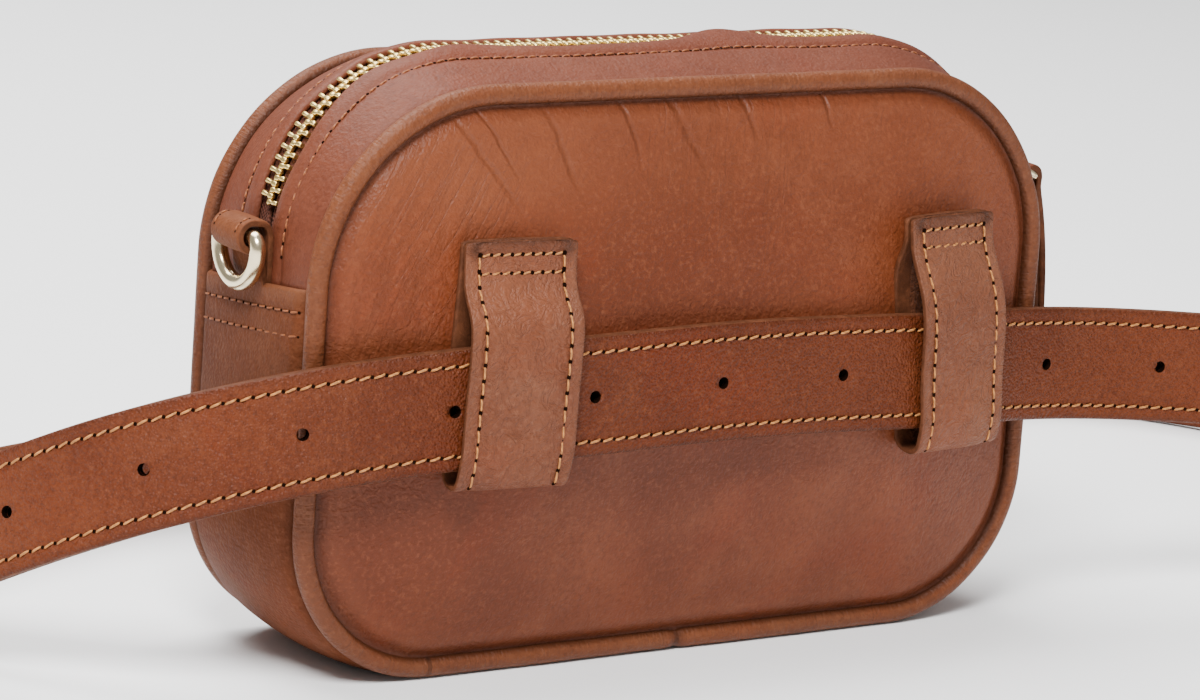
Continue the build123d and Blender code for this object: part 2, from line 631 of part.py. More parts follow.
# ======== buckle and keeper on the belt's straight end ========
side_z = BELT_WIDTH / 2 + BUCKLE_SIDE_GAP + BUCKLE_WIRE
with BuildPart() as buckle_frame:
    with BuildSketch(Plane.XZ.offset(-BELT_START.Y), mode=Mode.PRIVATE) as frame_shape:
        with Locations((BAR_X - BUCKLE_LENGTH / 2, BELT_START.Z)):
            RectangleRounded(BUCKLE_LENGTH, 2 * side_z, BUCKLE_SIDE_GAP + BUCKLE_WIRE)
    frame_wire = frame_shape.sketch.face().outer_wire()
    with BuildSketch(Plane(origin=frame_wire.position_at(0), z_dir=frame_wire.tangent_at(0))):
        Circle(BUCKLE_WIRE)
    sweep(path=frame_wire)
save(buckle_frame, "buckle_frame")

prong_y = BELT_START.Y + BUCKLE_WIRE + PRONG_RADIUS + PRONG_REST
prong_length = BUCKLE_LENGTH + BUCKLE_WIRE + PRONG_PAST_FRAME
with BuildPart() as prong:
    with BuildSketch(Plane.XY.offset(BELT_START.Z - PRONG_RADIUS)):
        with Locations((BAR_X, BELT_START.Y)):
            Circle(prong_y - BELT_START.Y + PRONG_RADIUS / 2)
    extrude(amount=2 * PRONG_RADIUS)
    with BuildSketch(Plane.YZ.offset(BAR_X)):
        with Locations((prong_y, BELT_START.Z)):
            Circle(PRONG_RADIUS)
    extrude(amount=-prong_length)
    with Locations((BAR_X, BELT_START.Y, BELT_START.Z)):
        Cylinder(FOLD_INNER, 4 * PRONG_RADIUS, mode=Mode.SUBTRACT)
    with Locations((BAR_X - prong_length, prong_y, BELT_START.Z)):
        Sphere(PRONG_RADIUS)
save(prong, "buckle_prong")

with BuildPart() as keeper:
    keeper_x = BAR_X + KEEPER_FROM_BAR
    inside = BELT_START.Y - BELT_PLY - KEEPER_GAP
    outside = BELT_START.Y + BELT_PLY + KEEPER_ROOM
    room = outside - inside
    half = BELT_WIDTH / 2 + KEEPER_GAP
    with BuildSketch(Plane.YZ.offset(keeper_x - KEEPER_WIDTH / 2)):
        with Locations(((inside + outside) / 2, BELT_START.Z)):
            RectangleRounded(room + 2 * KEEPER_LEATHER, 2 * (half + KEEPER_LEATHER), KEEPER_LEATHER)
            Rectangle(room, 2 * half, mode=Mode.SUBTRACT)
    extrude(amount=KEEPER_WIDTH)
save(keeper, "belt_keeper")

print("belt length", round(belt_length + TIP_LENGTH), "holes", len(holes), "teeth a side", tooth_count - 1)
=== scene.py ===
"""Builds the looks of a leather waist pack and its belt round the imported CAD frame."""

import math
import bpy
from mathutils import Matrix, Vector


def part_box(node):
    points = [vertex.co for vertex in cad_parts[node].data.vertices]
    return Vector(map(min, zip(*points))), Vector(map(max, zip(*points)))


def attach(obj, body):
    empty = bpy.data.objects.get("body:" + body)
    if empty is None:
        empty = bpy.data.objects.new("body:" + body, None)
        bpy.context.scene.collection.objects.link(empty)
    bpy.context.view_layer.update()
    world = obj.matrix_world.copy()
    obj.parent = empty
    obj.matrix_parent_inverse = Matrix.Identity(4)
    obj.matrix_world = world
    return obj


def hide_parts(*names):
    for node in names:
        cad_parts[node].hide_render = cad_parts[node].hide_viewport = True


bl_info = {
    "name": "Leather Waist Pack",
    "version": (1, 0, 0),
    "blender": (4, 5, 0),
    "location": "View3D > Sidebar > Waist Pack",
    "description": "Builds a leather waist pack, its zip, fittings and belt on their CAD bodies",
    "category": "Object",
}

import bmesh
import bpy
import numpy as np
from mathutils import Matrix, Vector, noise

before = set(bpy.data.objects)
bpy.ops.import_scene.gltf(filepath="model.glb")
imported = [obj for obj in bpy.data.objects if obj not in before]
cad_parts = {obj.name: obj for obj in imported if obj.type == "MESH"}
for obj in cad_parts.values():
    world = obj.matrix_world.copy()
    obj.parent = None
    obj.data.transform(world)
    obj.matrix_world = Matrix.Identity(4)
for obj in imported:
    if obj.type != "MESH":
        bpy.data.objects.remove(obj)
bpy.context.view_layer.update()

# ---- sizes in millimetres, in the frame of the CAD model
MM = 0.001
HALF_WIDTH = 101.5
HEIGHT = 135.0
TOP_R = 45.0
FOOT_R = 37.0
RIM_Y = 24.0
PIPING_R = 2.4
PIPING_INSET = 2.6
PANEL_INSET = 3.5
BULGE = 13.0
BULGE_REACH = 66.0
STRIP_INSET = 1.9
STRIP_Y = 21.5
TAPE_INSET = 3.7
ZIP_RISE = 6.4
SLOT_Y = 4.5
ZIP_END_Z = 104.5
FOLD_Z = 88.2
GUSSET_RUN = 280.0
GUSSET_EDGE = 22.4
GUSSET_ROWS = (4.2, 9.6)
FOLD_R = 0.95
STRIP_FOOT_Z = 79.0
TOOTH_PITCH = 2.8
RING_WIRE = 1.8
TAB_HALF = 6.2
PULL_HALF = 5.0
KEEPER_HALF = 4.5
PUNCH_R = 1.4
BELT_HALF = 13.5
BELT_PLY = 1.9
BELT_ROW = 10.0
TIP_START = 15.0
TIP_R = 11.0
LOOP_TOP_Z = 102.6
LOOP_ROW = 3.4
HOLE_PITCH = 34.6
BAR = (53.5, 141.0, 19.0)
BELT_ROUTE = (
    (62, 141, 19), (93, 141, 19), (124, 141, 19),
    (160, 145, 17), (204, 152, 14.4), (240, 147, 14), (268, 123, 14), (284, 88, 15.5),
    (288, 48, 20), (280, 9, 28), (261, -22, 37.5), (232, -41, 47), (199, -46.5, 54),
    (165, -41, 58.2), (131, -32.8, 60.9), (96.7, -31.4, 63.3), (64.5, -38.4, 65.6),
    (31.3, -40.7, 67.3), (-3.1, -41.7, 68), (-37.3, -41.6, 67.2), (-72.2, -38.2, 65.5),
    (-104.2, -31.2, 61.3), (-133, -14.6, 51.6), (-152.7, 12, 36.4), (-163, 38, 22.5),
    (-160, 64, 15), (-140, 86, 14), (-108, 100, 14), (-58, 113, 14), (-12, 120, 14),
)
MIDDLE_HOLE = 19
BELT_LEAN = (
    (0, 0), (0.07, 0), (0.16, 10), (0.3, 6), (0.45, 3), (0.69, 3), (0.8, 13), (0.9, 10), (1, 10),
)


def scaled(tone, *factors):
    """A colour times one factor, or one for each channel."""
    return tuple(c * k for c, k in zip(tone, factors * 3 if len(factors) == 1 else factors))


def hill(x, centre, width):
    """1 at the centre, falling smoothly to 0 beyond the width."""
    return np.exp(-((x - centre) / width) ** 2)


def unit(vectors):
    """Rows of vectors, each made one long."""
    return vectors / np.linalg.norm(vectors, axis=1, keepdims=True)


def space(x, y, z):
    """Points from three coordinates, any of which may be one number."""
    return np.stack(np.broadcast_arrays(x, y, z), -1).astype(float)


def sampled(at, lengths, values):
    """Rows of values read at distances along a line."""
    return np.stack([np.interp(at, lengths, column) for column in np.asarray(values, float).T], 1)


# ======== shader sums ========
class Sum:
    """A shader socket that ordinary sums can be written with."""

    def __init__(self, tree, socket):
        self.tree = tree
        self.socket = socket

    def math(self, operation, other=0.0, swap=False):
        """One Math node, with this socket and another value."""
        node = self.tree.nodes.new("ShaderNodeMath")
        node.operation = operation
        pair = (other, self) if swap else (self, other)
        for slot, value in zip(node.inputs, pair):
            self.feed(slot, value)
        return Sum(self.tree, node.outputs[0])

    def feed(self, slot, value):
        """Links or sets one input."""
        if isinstance(value, Sum):
            self.tree.links.new(value.socket, slot)
        else:
            slot.default_value = value

    def __add__(self, other):
        return self.math("ADD", other)

    def __radd__(self, other):
        return self.math("ADD", other, swap=True)

    def __sub__(self, other):
        return self.math("SUBTRACT", other)

    def __rsub__(self, other):
        return self.math("SUBTRACT", other, swap=True)

    def __mul__(self, other):
        return self.math("MULTIPLY", other)

    def __rmul__(self, other):
        return self.math("MULTIPLY", other, swap=True)

    def __pow__(self, other):
        return self.math("POWER", other)

    def between(self, low, high):
        """0 below low, 1 above high, smooth between."""
        node = self.tree.nodes.new("ShaderNodeMapRange")
        node.interpolation_type = "SMOOTHSTEP"
        self.feed(node.inputs["Value"], self)
        node.inputs["From Min"].default_value = low
        node.inputs["From Max"].default_value = high
        return Sum(self.tree, node.outputs["Result"])


class Surface:
    """A material being built, with one Principled shader."""

    def __init__(self, name):
        self.material = bpy.data.materials.new(name)
        self.material.use_nodes = True
        self.tree = self.material.node_tree
        self.shader = self.tree.nodes["Principled BSDF"]
        self.place = self.node("ShaderNodeTexCoord", out="Object")
        self.x, self.y, self.z = (
            self.node("ShaderNodeSeparateXYZ", {"Vector": self.place}, out=axis) for axis in "XYZ"
        )

    def node(self, kind, inputs=None, out=0, **settings):
        """Any other node, its inputs by name, as a Sum of the wanted output."""
        made = self.tree.nodes.new(kind)
        for key, value in settings.items():
            setattr(made, key, value)
        result = Sum(self.tree, made.outputs[out])
        for key, value in (inputs or {}).items():
            result.feed(made.inputs[key], value)
        return result

    def noise(self, scale, detail=2.0, rough=0.5, distortion=0.0, at=None):
        """Noise from 0 to 1, with scale in cells a metre."""
        return self.node("ShaderNodeTexNoise", {
            "Vector": at or self.place, "Scale": scale, "Detail": detail,
            "Roughness": rough, "Distortion": distortion})

    def cells(self, scale, feature="F1", smooth=None):
        """Distance inside cells, with scale in cells a metre."""
        inputs = {"Vector": self.place, "Scale": scale}
        if smooth is not None:
            inputs["Smoothness"] = smooth
        return self.node("ShaderNodeTexVoronoi", inputs, out="Distance", feature=feature)

    def point(self, x, y, z):
        """A vector from three values."""
        return self.node("ShaderNodeCombineXYZ", {"X": x, "Y": y, "Z": z})

    def mix(self, share, first, second):
        """A mix of two colours."""
        node = self.tree.nodes.new("ShaderNodeMix")
        node.data_type = "RGBA"
        sockets = {slot.identifier: slot for slot in (*node.inputs, *node.outputs)}
        result = Sum(self.tree, sockets["Result_Color"])
        result.feed(sockets["Factor_Float"], share)
        for slot, value in (("A_Color", first), ("B_Color", second)):
            result.feed(sockets[slot], value if isinstance(value, Sum) else (*value, 1.0))
        return result

    def attribute(self, name):
        """A value that the mesh carries."""
        return self.node("ShaderNodeAttribute", out="Fac", attribute_name=name)

    def bump(self, height, distance):
        """Feeds the shader's normal from a height."""
        self.set("Normal", self.node(
            "ShaderNodeBump", {"Height": height, "Distance": distance, "Strength": 1.0}, out="Normal"))

    def set(self, name, value):
        """Sets or links one of the shader's inputs."""
        slot = self.shader.inputs[name]
        if isinstance(value, Sum):
            self.tree.links.new(value.socket, slot)
        elif isinstance(value, tuple) and len(value) == 3:
            slot.default_value = (*value, 1.0)
        else:
            slot.default_value = value

    def creases(self, centre, reach, turn, across, along):
        """Fine folds round a place on the X-Z plane: they run at an angle and fade at reach."""
        c, s = math.cos(math.radians(turn)), math.sin(math.radians(turn))
        dx = self.x - centre[0] * MM
        dz = self.z - centre[1] * MM
        u = dx * c + dz * s
        v = dz * c - dx * s
        field = self.noise(1.0, 3.0, 0.55, 0.35, at=self.point(u * along, v * across, 0.0))
        ridge = 1.0 - (field * 2.0 - 1.0).math("ABSOLUTE")
        far = (dx * dx + dz * dz).math("SQRT")
        return (ridge ** 9.0) * (1.0 - far.between(reach * MM * 0.25, reach * MM))

    def pleat(self, x, z, length, slope, width):
        """One fold line that runs down from a point on the X-Z plane and fades."""
        drop = z * MM - self.z
        wander = self.noise(110.0, 2.0, 0.5, at=self.point(x, 0.0, self.z)) * 0.0034
        off = (self.x - drop * slope + wander - (x + 1.7) * MM).math("ABSOLUTE")
        line = 1.0 - off.between(0.0, width * MM)
        fade = 1.0 - drop.between(length * MM * 0.35, length * MM)
        return line * drop.between(-0.004, 0.002) * fade


def leather(name, tone, grain=0.6, pebble=0.0, folds=(), shine=0.46, cloud=1.0, ribs=0.0,
            wrinkle=0.0, gloss=0.17, mottle=0.34, pleats=()):
    """Pull-up leather: cloudy colour, fine grain, and folds where they are asked for."""
    s = Surface(name)
    large = s.noise(13.0, 3.0, 0.5, 0.5)
    middle = s.noise(46.0, 5.0, 0.62, 0.6)
    fine = s.noise(420.0, 4.0, 0.65)
    dark = scaled(tone, 0.60, 0.54, 0.56)
    light = scaled(tone, 1.20, 1.52, 2.0)
    colour = s.mix(large.between(0.34, 0.66) * cloud, dark, tone)
    colour = s.mix(middle.between(0.45, 0.8) * 0.5 * cloud, colour, light)
    colour = s.mix(s.noise(27.0, 2.0, 0.5, 0.8).between(0.5, 0.7) * 0.35, colour,
                   scaled(tone, 1.02, 0.66, 0.46))
    colour = s.mix(s.noise(150.0, 4.0, 0.7, 1.0).between(0.44, 0.68) * 0.4 * cloud, colour, dark)
    speck = s.noise(900.0, 3.0, 0.6, 0.4)
    colour = s.mix(speck.between(0.5, 0.72) * mottle, colour, light)
    colour = s.mix((1.0 - speck.between(0.3, 0.5)) * mottle, colour, scaled(tone, 0.45))
    pores = s.cells(1350.0)
    weak = s.cells(760.0, "SMOOTH_F1", smooth=0.4)
    height = fine * 0.5 + pores * grain * 0.55 + weak * grain * 0.35 + speck * 0.6
    if pebble:
        height = height + (1.0 - s.cells(1500.0, "SMOOTH_F1", smooth=0.3)) * pebble
    if wrinkle:
        net = 1.0 - (s.noise(230.0, 3.0, 0.6, 1.3) * 2.0 - 1.0).math("ABSOLUTE")
        height = height - net ** 4.0 * wrinkle
    tight = s.noise(1.0, 3.0, 0.6, 0.6, at=s.point(s.x * 900.0, s.y * 900.0, s.z * 520.0))
    height = height + tight * grain * 0.7
    if ribs:
        around = s.point(s.attribute("run") * 1.3, s.y * 90.0, 0.0)
        height = height + s.noise(1.0, 3.0, 0.6, at=around) * ribs
    crease = None
    for fold in folds:
        one = s.creases(*fold[0])
        part = one * fold[1]
        crease = part if crease is None else crease + part
    for fold in pleats:
        one = s.pleat(*fold)
        height = height - one * 1.7
        # Painted shade along each fold line, on top of its dent.
        colour = s.mix(one * 0.38, colour, scaled(tone, 0.45))
    if crease is not None:
        height = height - crease * 0.5
        # Painted shade in the creases, on top of their dents.
        colour = s.mix(crease.between(0.15, 0.8) * 0.42, colour, scaled(tone, 0.5))
    # The attribute read here lightens the colour: partly real wear at rubbed edges and folds, partly
    # painted highlight and painted light where the key light falls.
    worn = s.attribute("worn")
    colour = s.mix(worn * 0.6, colour, light)
    shade = s.attribute("shade")
    colour = s.mix(shade * 0.92, colour, scaled(tone, 0.2))
    colour = s.mix(pores.between(0.0, 0.5) * 0.16, colour, dark)
    s.set("Base Color", colour)
    s.set("Roughness", shine - 0.07 + fine * 0.12 + large * 0.1 - worn * 0.05)
    s.set("Specular IOR Level", gloss)
    s.bump(height, 0.00026)
    return s.material


def edge_paint(name, tone, gloss):
    """The rubbed, painted edge of cut leather."""
    s = Surface(name)
    field = s.noise(300.0, 5.0, 0.7)
    s.set("Base Color", s.mix(field.between(0.4, 0.75), scaled(tone, 0.55), tone))
    s.set("Roughness", 0.42 + field * 0.25)
    s.set("Specular IOR Level", gloss)
    s.bump(field + s.noise(1500.0, 2.0) * 0.4, 0.00025)
    return s.material


def thread(name, tone):
    """Waxed thread with the twist of its strands."""
    s = Surface(name)
    twist = s.node("ShaderNodeTexWave", {
        "Vector": s.place, "Scale": 330.0, "Distortion": 1.5, "Detail": 1.0}, out="Fac",
        bands_direction="DIAGONAL")
    fuzz = s.noise(2600.0, 2.0)
    dark = scaled(tone, 0.5)
    s.set("Base Color", s.mix(twist * 0.7 + fuzz * 0.3, dark, tone))
    s.set("Roughness", 0.55 + fuzz * 0.2)
    s.bump(twist + fuzz * 0.3, 0.0002)
    return s.material


def metal(name, tone, rough=0.14):
    """Polished pale gold plating with fine scratches and a little tarnish."""
    s = Surface(name)
    scratch = s.noise(1.0, 3.0, 0.6, 0.2, at=s.point(s.x * 3200.0, s.y * 500.0, s.z * 500.0))
    cloud = s.noise(240.0, 3.0)
    tarnish = scaled(tone, 0.78, 0.68, 0.5)
    s.set("Base Color", s.mix(cloud.between(0.3, 0.8) * 0.35, tone, tarnish))
    s.set("Metallic", 1.0)
    s.set("Roughness", rough + scratch * 0.08 + cloud * 0.06)
    s.bump(scratch, 0.00002)
    return s.material


def woven(name, tone, pitch):
    """Plain weave at a pitch in metres."""
    s = Surface(name)
    k = math.pi / pitch
    warp = ((s.x + s.z) * k).math("SINE")
    weft = ((s.y + s.z * 0.15) * k).math("SINE")
    check = warp * weft * 0.5 + 0.5
    fuzz = s.noise(2400.0, 3.0, 0.6)
    s.set("Base Color", s.mix(check * 0.6 + fuzz * 0.4, scaled(tone, 0.45), tone))
    s.set("Roughness", 0.85)
    s.bump(check + fuzz * 0.5, 0.00022)
    return s.material


def make_materials(settings):
    """Every material of the pack, by name."""
    brown = tuple(settings.tone)
    top_left = ((-72.0, 106.0), 32.0, 58.0, 270.0, 30.0)
    top_left_low = ((-84.0, 84.0), 22.0, 74.0, 260.0, 34.0)
    along_top = ((4.0, 121.0), 44.0, 80.0, 240.0, 30.0)
    right_top = ((74.0, 112.0), 26.0, 48.0, 260.0, 34.0)
    low_left = ((-100.0, 30.0), 30.0, 15.0, 300.0, 50.0)
    panel_folds = ((top_left, 1.1), (top_left_low, 0.6), (along_top, 0.8), (right_top, 0.4))
    pleats = ((-66.0, 126.0, 26.0, 0.74, 1.5), (-60.5, 128.0, 17.0, 0.62, 0.9),
              (-43.0, 127.0, 24.0, 0.42, 1.4), (-23.0, 129.0, 17.0, 0.30, 1.1),
              (-9.5, 129.0, 21.0, 0.52, 1.7), (10.0, 129.0, 12.0, 0.36, 1.3),
              (33.0, 129.0, 9.0, 0.15, 1.0))
    return {
        "panel": leather("panel_leather", brown, 0.62, folds=panel_folds, shine=0.42,
                         wrinkle=0.35, mottle=0.5, pleats=pleats),
        "gusset": leather("gusset_leather", scaled(brown, 0.84, 1.05, 1.2), 0.7,
                          folds=((low_left, 0.3),), shine=0.56, gloss=0.07, mottle=0.42),
        "strip": leather("strip_leather", scaled(brown, 0.80, 0.86, 1.15), 0.5, shine=0.47),
        "piping": leather("piping_leather", scaled(brown, 0.84, 0.98, 1.0), 0.7,
                          shine=0.44, cloud=1.2, ribs=1.0, mottle=0.55),
        "belt": leather("belt_leather", scaled(brown, 0.76, 0.70, 0.60), 0.5,
                        pebble=1.3, shine=0.42, cloud=0.9, gloss=0.13, mottle=0.55),
        "loop": leather("loop_leather", scaled(brown, 1.1, 1.45, 1.85), 0.8,
                        shine=0.46, cloud=0.9, wrinkle=1.1, mottle=0.42),
        "edge": edge_paint("edge_paint", (0.125, 0.042, 0.019), 0.08),
        "thread": thread("stitch_thread", (0.52, 0.20, 0.045)),
        "dark_thread": thread("seam_thread", (0.30, 0.085, 0.02)),
        # Near-black colour for the needle-hole discs and the punched-hole walls: painted shade inside the
        # holes.
        "hole": edge_paint("needle_hole_shade", (0.012, 0.005, 0.003), 0.0),
        "gold": metal("pale_gold", (0.80, 0.68, 0.45)),
        "teeth": metal("zip_brass", (0.86, 0.64, 0.24), 0.26),
        "tape": woven("zip_tape", (0.13, 0.032, 0.014), 0.0006),
        "lining": woven("lining_cloth", (0.20, 0.17, 0.14), 0.0005),
        "board": woven("fibre_board", (0.30, 0.27, 0.23), 0.0009),
        "cord": woven("filler_cord", (0.72, 0.70, 0.64), 0.0007),
    }


# ======== mesh code: all lengths in millimetres until the mesh is made ========
def make_mesh(name, points, faces, materials, indices=None, smooth=True):
    """A mesh object from points in millimetres."""
    data = bpy.data.meshes.new(name)
    data.from_pydata((np.asarray(points, float).reshape(-1, 3) * MM).tolist(), [], faces)
    for material in materials:
        data.materials.append(material)
    if indices is not None:
        data.polygons.foreach_set("material_index", np.asarray(indices, np.int32))
    data.polygons.foreach_set("use_smooth", [smooth] * len(data.polygons))
    data.validate()
    shape = bmesh.new()
    shape.from_mesh(data)
    if all(edge.is_manifold for edge in shape.edges):
        bmesh.ops.recalc_face_normals(shape, faces=shape.faces)
        shape.to_mesh(data)
    shape.free()
    made = bpy.data.objects.new(name, data)
    bpy.context.scene.collection.objects.link(made)
    return made


def grid_faces(rows, columns, close_rows=False, close_columns=False, flip=False):
    """Quads over a grid of points, row by row."""
    i = np.arange(rows if close_rows else rows - 1)
    j = np.arange(columns if close_columns else columns - 1)
    a, b = np.meshgrid(i, j, indexing="ij")
    a2, b2 = (a + 1) % rows, (b + 1) % columns
    quads = np.stack([a * columns + b, a2 * columns + b, a2 * columns + b2, a * columns + b2], -1)
    return quads.reshape(-1, 4)[:, ::-1 if flip else 1].tolist()


def tube_faces(rows, sides):
    """Quads round a tube, with a cap at each end."""
    caps = [list(range(sides))[::-1], list(range((rows - 1) * sides, rows * sides))]
    return grid_faces(rows, sides, False, True) + caps


def carry(piece, **values):
    """Stores values for the shader on a mesh's points."""
    for key, value in values.items():
        layer = piece.data.attributes.new(key, "FLOAT", "POINT")
        every = np.broadcast_to(np.asarray(value, np.float32).ravel(), len(piece.data.vertices))
        layer.data.foreach_set("value", np.ascontiguousarray(every))


def modifier(piece, kind, **settings):
    """Adds a modifier."""
    made = piece.modifiers.new(kind.lower(), kind)
    for key, value in settings.items():
        setattr(made, key, value)


def soften(piece):
    """Rounds a piece with one level of subdivision."""
    modifier(piece, "SUBSURF", levels=1, render_levels=1)


def applied(piece):
    """Applies a piece's modifiers."""
    graph = bpy.context.evaluated_depsgraph_get()
    graph.update()
    data = bpy.data.meshes.new_from_object(piece.evaluated_get(graph))
    piece.modifiers.clear()
    piece.data = data


def finish(piece, body, nodes=()):
    """Rides a piece on its body, and hides the nodes it stands for."""
    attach(piece, body)
    if nodes:
        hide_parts(*nodes)


KNOTS = np.cumsum([0, 2 * (HALF_WIDTH - FOOT_R), FOOT_R * math.pi / 2, HEIGHT - FOOT_R - TOP_R,
                   TOP_R * math.pi / 2, 2 * (HALF_WIDTH - TOP_R), TOP_R * math.pi / 2,
                   HEIGHT - FOOT_R - TOP_R, FOOT_R * math.pi / 2])
AROUND = KNOTS[-1]
CORE_X = [-64.5, 64.5, 64.5, 56.5, 56.5, -56.5, -56.5, -64.5, -64.5]
CORE_Z = [37, 37, 37, 90, 90, 90, 90, 37, 37]
CORE_R = [37, 37, 37, 45, 45, 45, 45, 37, 37]
CORE_TURN = [-90, -90, 0, 0, 90, 90, 180, 180, 270]
CORE_RISE = [0, 0, 0, 1, 1, 1, 1, 0, 0]


def rim(a, inset=0.0, rise=0.0):
    """Points (x, z) and outward normals (x, z) at distances a round the bag's outline."""
    a = np.mod(np.asarray(a, float), AROUND)
    turn = np.radians(np.interp(a, KNOTS, CORE_TURN))
    radius = np.interp(a, KNOTS, CORE_R) - inset
    nx, nz = np.cos(turn), np.sin(turn)
    x = np.interp(a, KNOTS, CORE_X) + radius * nx
    z = np.interp(a, KNOTS, CORE_Z) + rise * np.interp(a, KNOTS, CORE_RISE) + radius * nz
    return x, z, nx, nz


def left_at(z):
    """Distance round the outline of a height on its left side."""
    return KNOTS[6] + (90.0 - z)


def right_at(z):
    """Distance round the outline of a height on its right side."""
    return KNOTS[2] + (z - 37.0)


def rough_field(points, scale, seed=0.0):
    """Smooth noise from -1 to 1 at each point, with scale in millimetres."""
    flat = np.asarray(points, float).reshape(-1, 3) / scale + seed
    values = [noise.noise(Vector(p)) for p in flat]
    return np.array(values).reshape(np.asarray(points).shape[:-1])


def bulge(d):
    """How far a panel stands beyond the rim, at a distance in from the outline."""
    share = np.clip(np.asarray(d, float) / BULGE_REACH, 0.0, 1.0)
    return BULGE * (1 - (1 - share) ** 1.6)


def arc(x, y, radius, first, last, count):
    """Points on part of a circle, between two angles in radians."""
    return [(x + radius * math.cos(q), y + radius * math.sin(q)) for q in np.linspace(first, last, count)]


def frames_along(path, closed):
    """A twist-free pair of cross directions along a path."""
    path = np.asarray(path, float)
    if closed:
        tangent = unit(np.roll(path, -1, 0) - np.roll(path, 1, 0))
    else:
        tangent = unit(np.gradient(path, axis=0))
    side = np.zeros_like(path)
    start = np.array([0.0, 1.0, 0.0]) if abs(tangent[0][1]) < 0.9 else np.array([1.0, 0.0, 0.0])
    side[0] = start - tangent[0] * start.dot(tangent[0])
    side[0] /= np.linalg.norm(side[0])
    for n in range(1, len(path)):
        side[n] = side[n - 1] - tangent[n] * side[n - 1].dot(tangent[n])
        side[n] /= np.linalg.norm(side[n])
    return side, np.cross(tangent, side)


def tube(name, path, radius, material, closed=False, sides=20):
    """A round tube along a path, with a radius for each point or one for all."""
    path = np.asarray(path, float)
    side, other = frames_along(path, closed)
    radius = np.broadcast_to(np.asarray(radius, float), (len(path),))
    angle = np.linspace(0, 2 * math.pi, sides, endpoint=False)
    ring = np.cos(angle)[:, None] * side[:, None] + np.sin(angle)[:, None] * other[:, None]
    points = path[:, None] + ring * radius[:, None, None]
    faces = grid_faces(len(path), sides, True, True) if closed else tube_faces(len(path), sides)
    return make_mesh(name, points, faces, [material])


def plate_section(half_width, inner, outer, round_outer, round_inner, crown, dips=()):
    """A closed section of a strip, as (across, out) points, and True where it is cut edge."""
    top, cut = [], []
    flat = np.linspace(-(half_width - round_outer), half_width - round_outer, 33)
    for w in flat:
        drop = sum(depth * math.exp(-((w - place) / wide) ** 2) for place, depth, wide in dips)
        top.append((w, outer + crown * (1 - (w / half_width) ** 2) - drop))
        cut.append(False)
    right = arc(half_width - round_outer, outer - round_outer, round_outer, math.pi / 2, 0, 6)[1:]
    right += arc(half_width - round_inner, inner + round_inner, round_inner, 0, -math.pi / 2, 3)
    left = [(-w, o) for w, o in reversed(right)]
    points = top + right + left
    cut += [False, False] + [True] * (len(right) - 2) + [True] * (len(left) - 2) + [False, False]
    return np.array(points), np.array(cut)


def sweep_plate(name, origin, out, across, section, cut, materials, closed=False, scale=1.0):
    """A strip: its section (across, out) carried along frames."""
    across = np.broadcast_to(across, origin.shape)
    w = section[:, 0] * np.broadcast_to(scale, len(origin))[:, None]
    points = origin[:, None] + across[:, None] * w[:, :, None] + out[:, None] * section[:, 1, None]
    n = len(section)
    faces = grid_faces(len(origin), n, closed, True)
    same_side = section[:, 0] * np.roll(section[:, 0], -1) > 0
    indices = np.tile(cut & np.roll(cut, -1) & same_side, len(faces) // n).astype(int).tolist()
    if not closed:
        faces.append(list(range(n)))
        faces.append([(len(origin) - 1) * n + k for k in reversed(range(n))])
        indices += [1, 1]
    return make_mesh(name, points, faces, materials, indices)


def upright(path, turn):
    """A path on the X-Z plane as points, with its normals on one side."""
    tangent = unit(np.gradient(path, axis=0)) * turn
    return space(path[:, 0], 0.0, path[:, 1]), space(tangent[:, 1], 0.0, -tangent[:, 0])


def strip(name, origin, outward, across, shape, looks, **settings):
    """A strip with cut edges, from the numbers of its section."""
    return sweep_plate(name, origin, outward, across, *plate_section(*shape), looks, **settings)


def resampled(path, step):
    """Middles of equal steps along a path, and the distance of each of its points."""
    path = np.asarray(path, float)
    lengths = np.r_[0, np.cumsum(np.linalg.norm(np.diff(path, axis=0), axis=1))]
    count = max(int(round(lengths[-1] / step)), 1)
    at = (np.arange(count) + 0.5) * lengths[-1] / count
    return at, lengths


def along_path(path, normals, at, lengths):
    """Position, tangent and normal at distances along a path."""
    place = sampled(at, lengths, path)
    tangent = unit(sampled(at + 0.6, lengths, path) - sampled(at - 0.6, lengths, path))
    normal = sampled(at, lengths, normals)
    normal -= tangent * (normal * tangent).sum(1, keepdims=True)
    normal = unit(normal)
    return place, tangent, normal


def copies(template, faces, place, x_dir, y_dir, z_dir):
    """One template repeated in many frames: its points and faces."""
    template = np.asarray(template, float)
    points = place[:, None] + template @ np.stack([x_dir, y_dir, z_dir], 1)
    size = len(template)
    every = [[v + n * size for v in face] for n in range(len(place)) for face in faces]
    return points.reshape(-1, 3), every


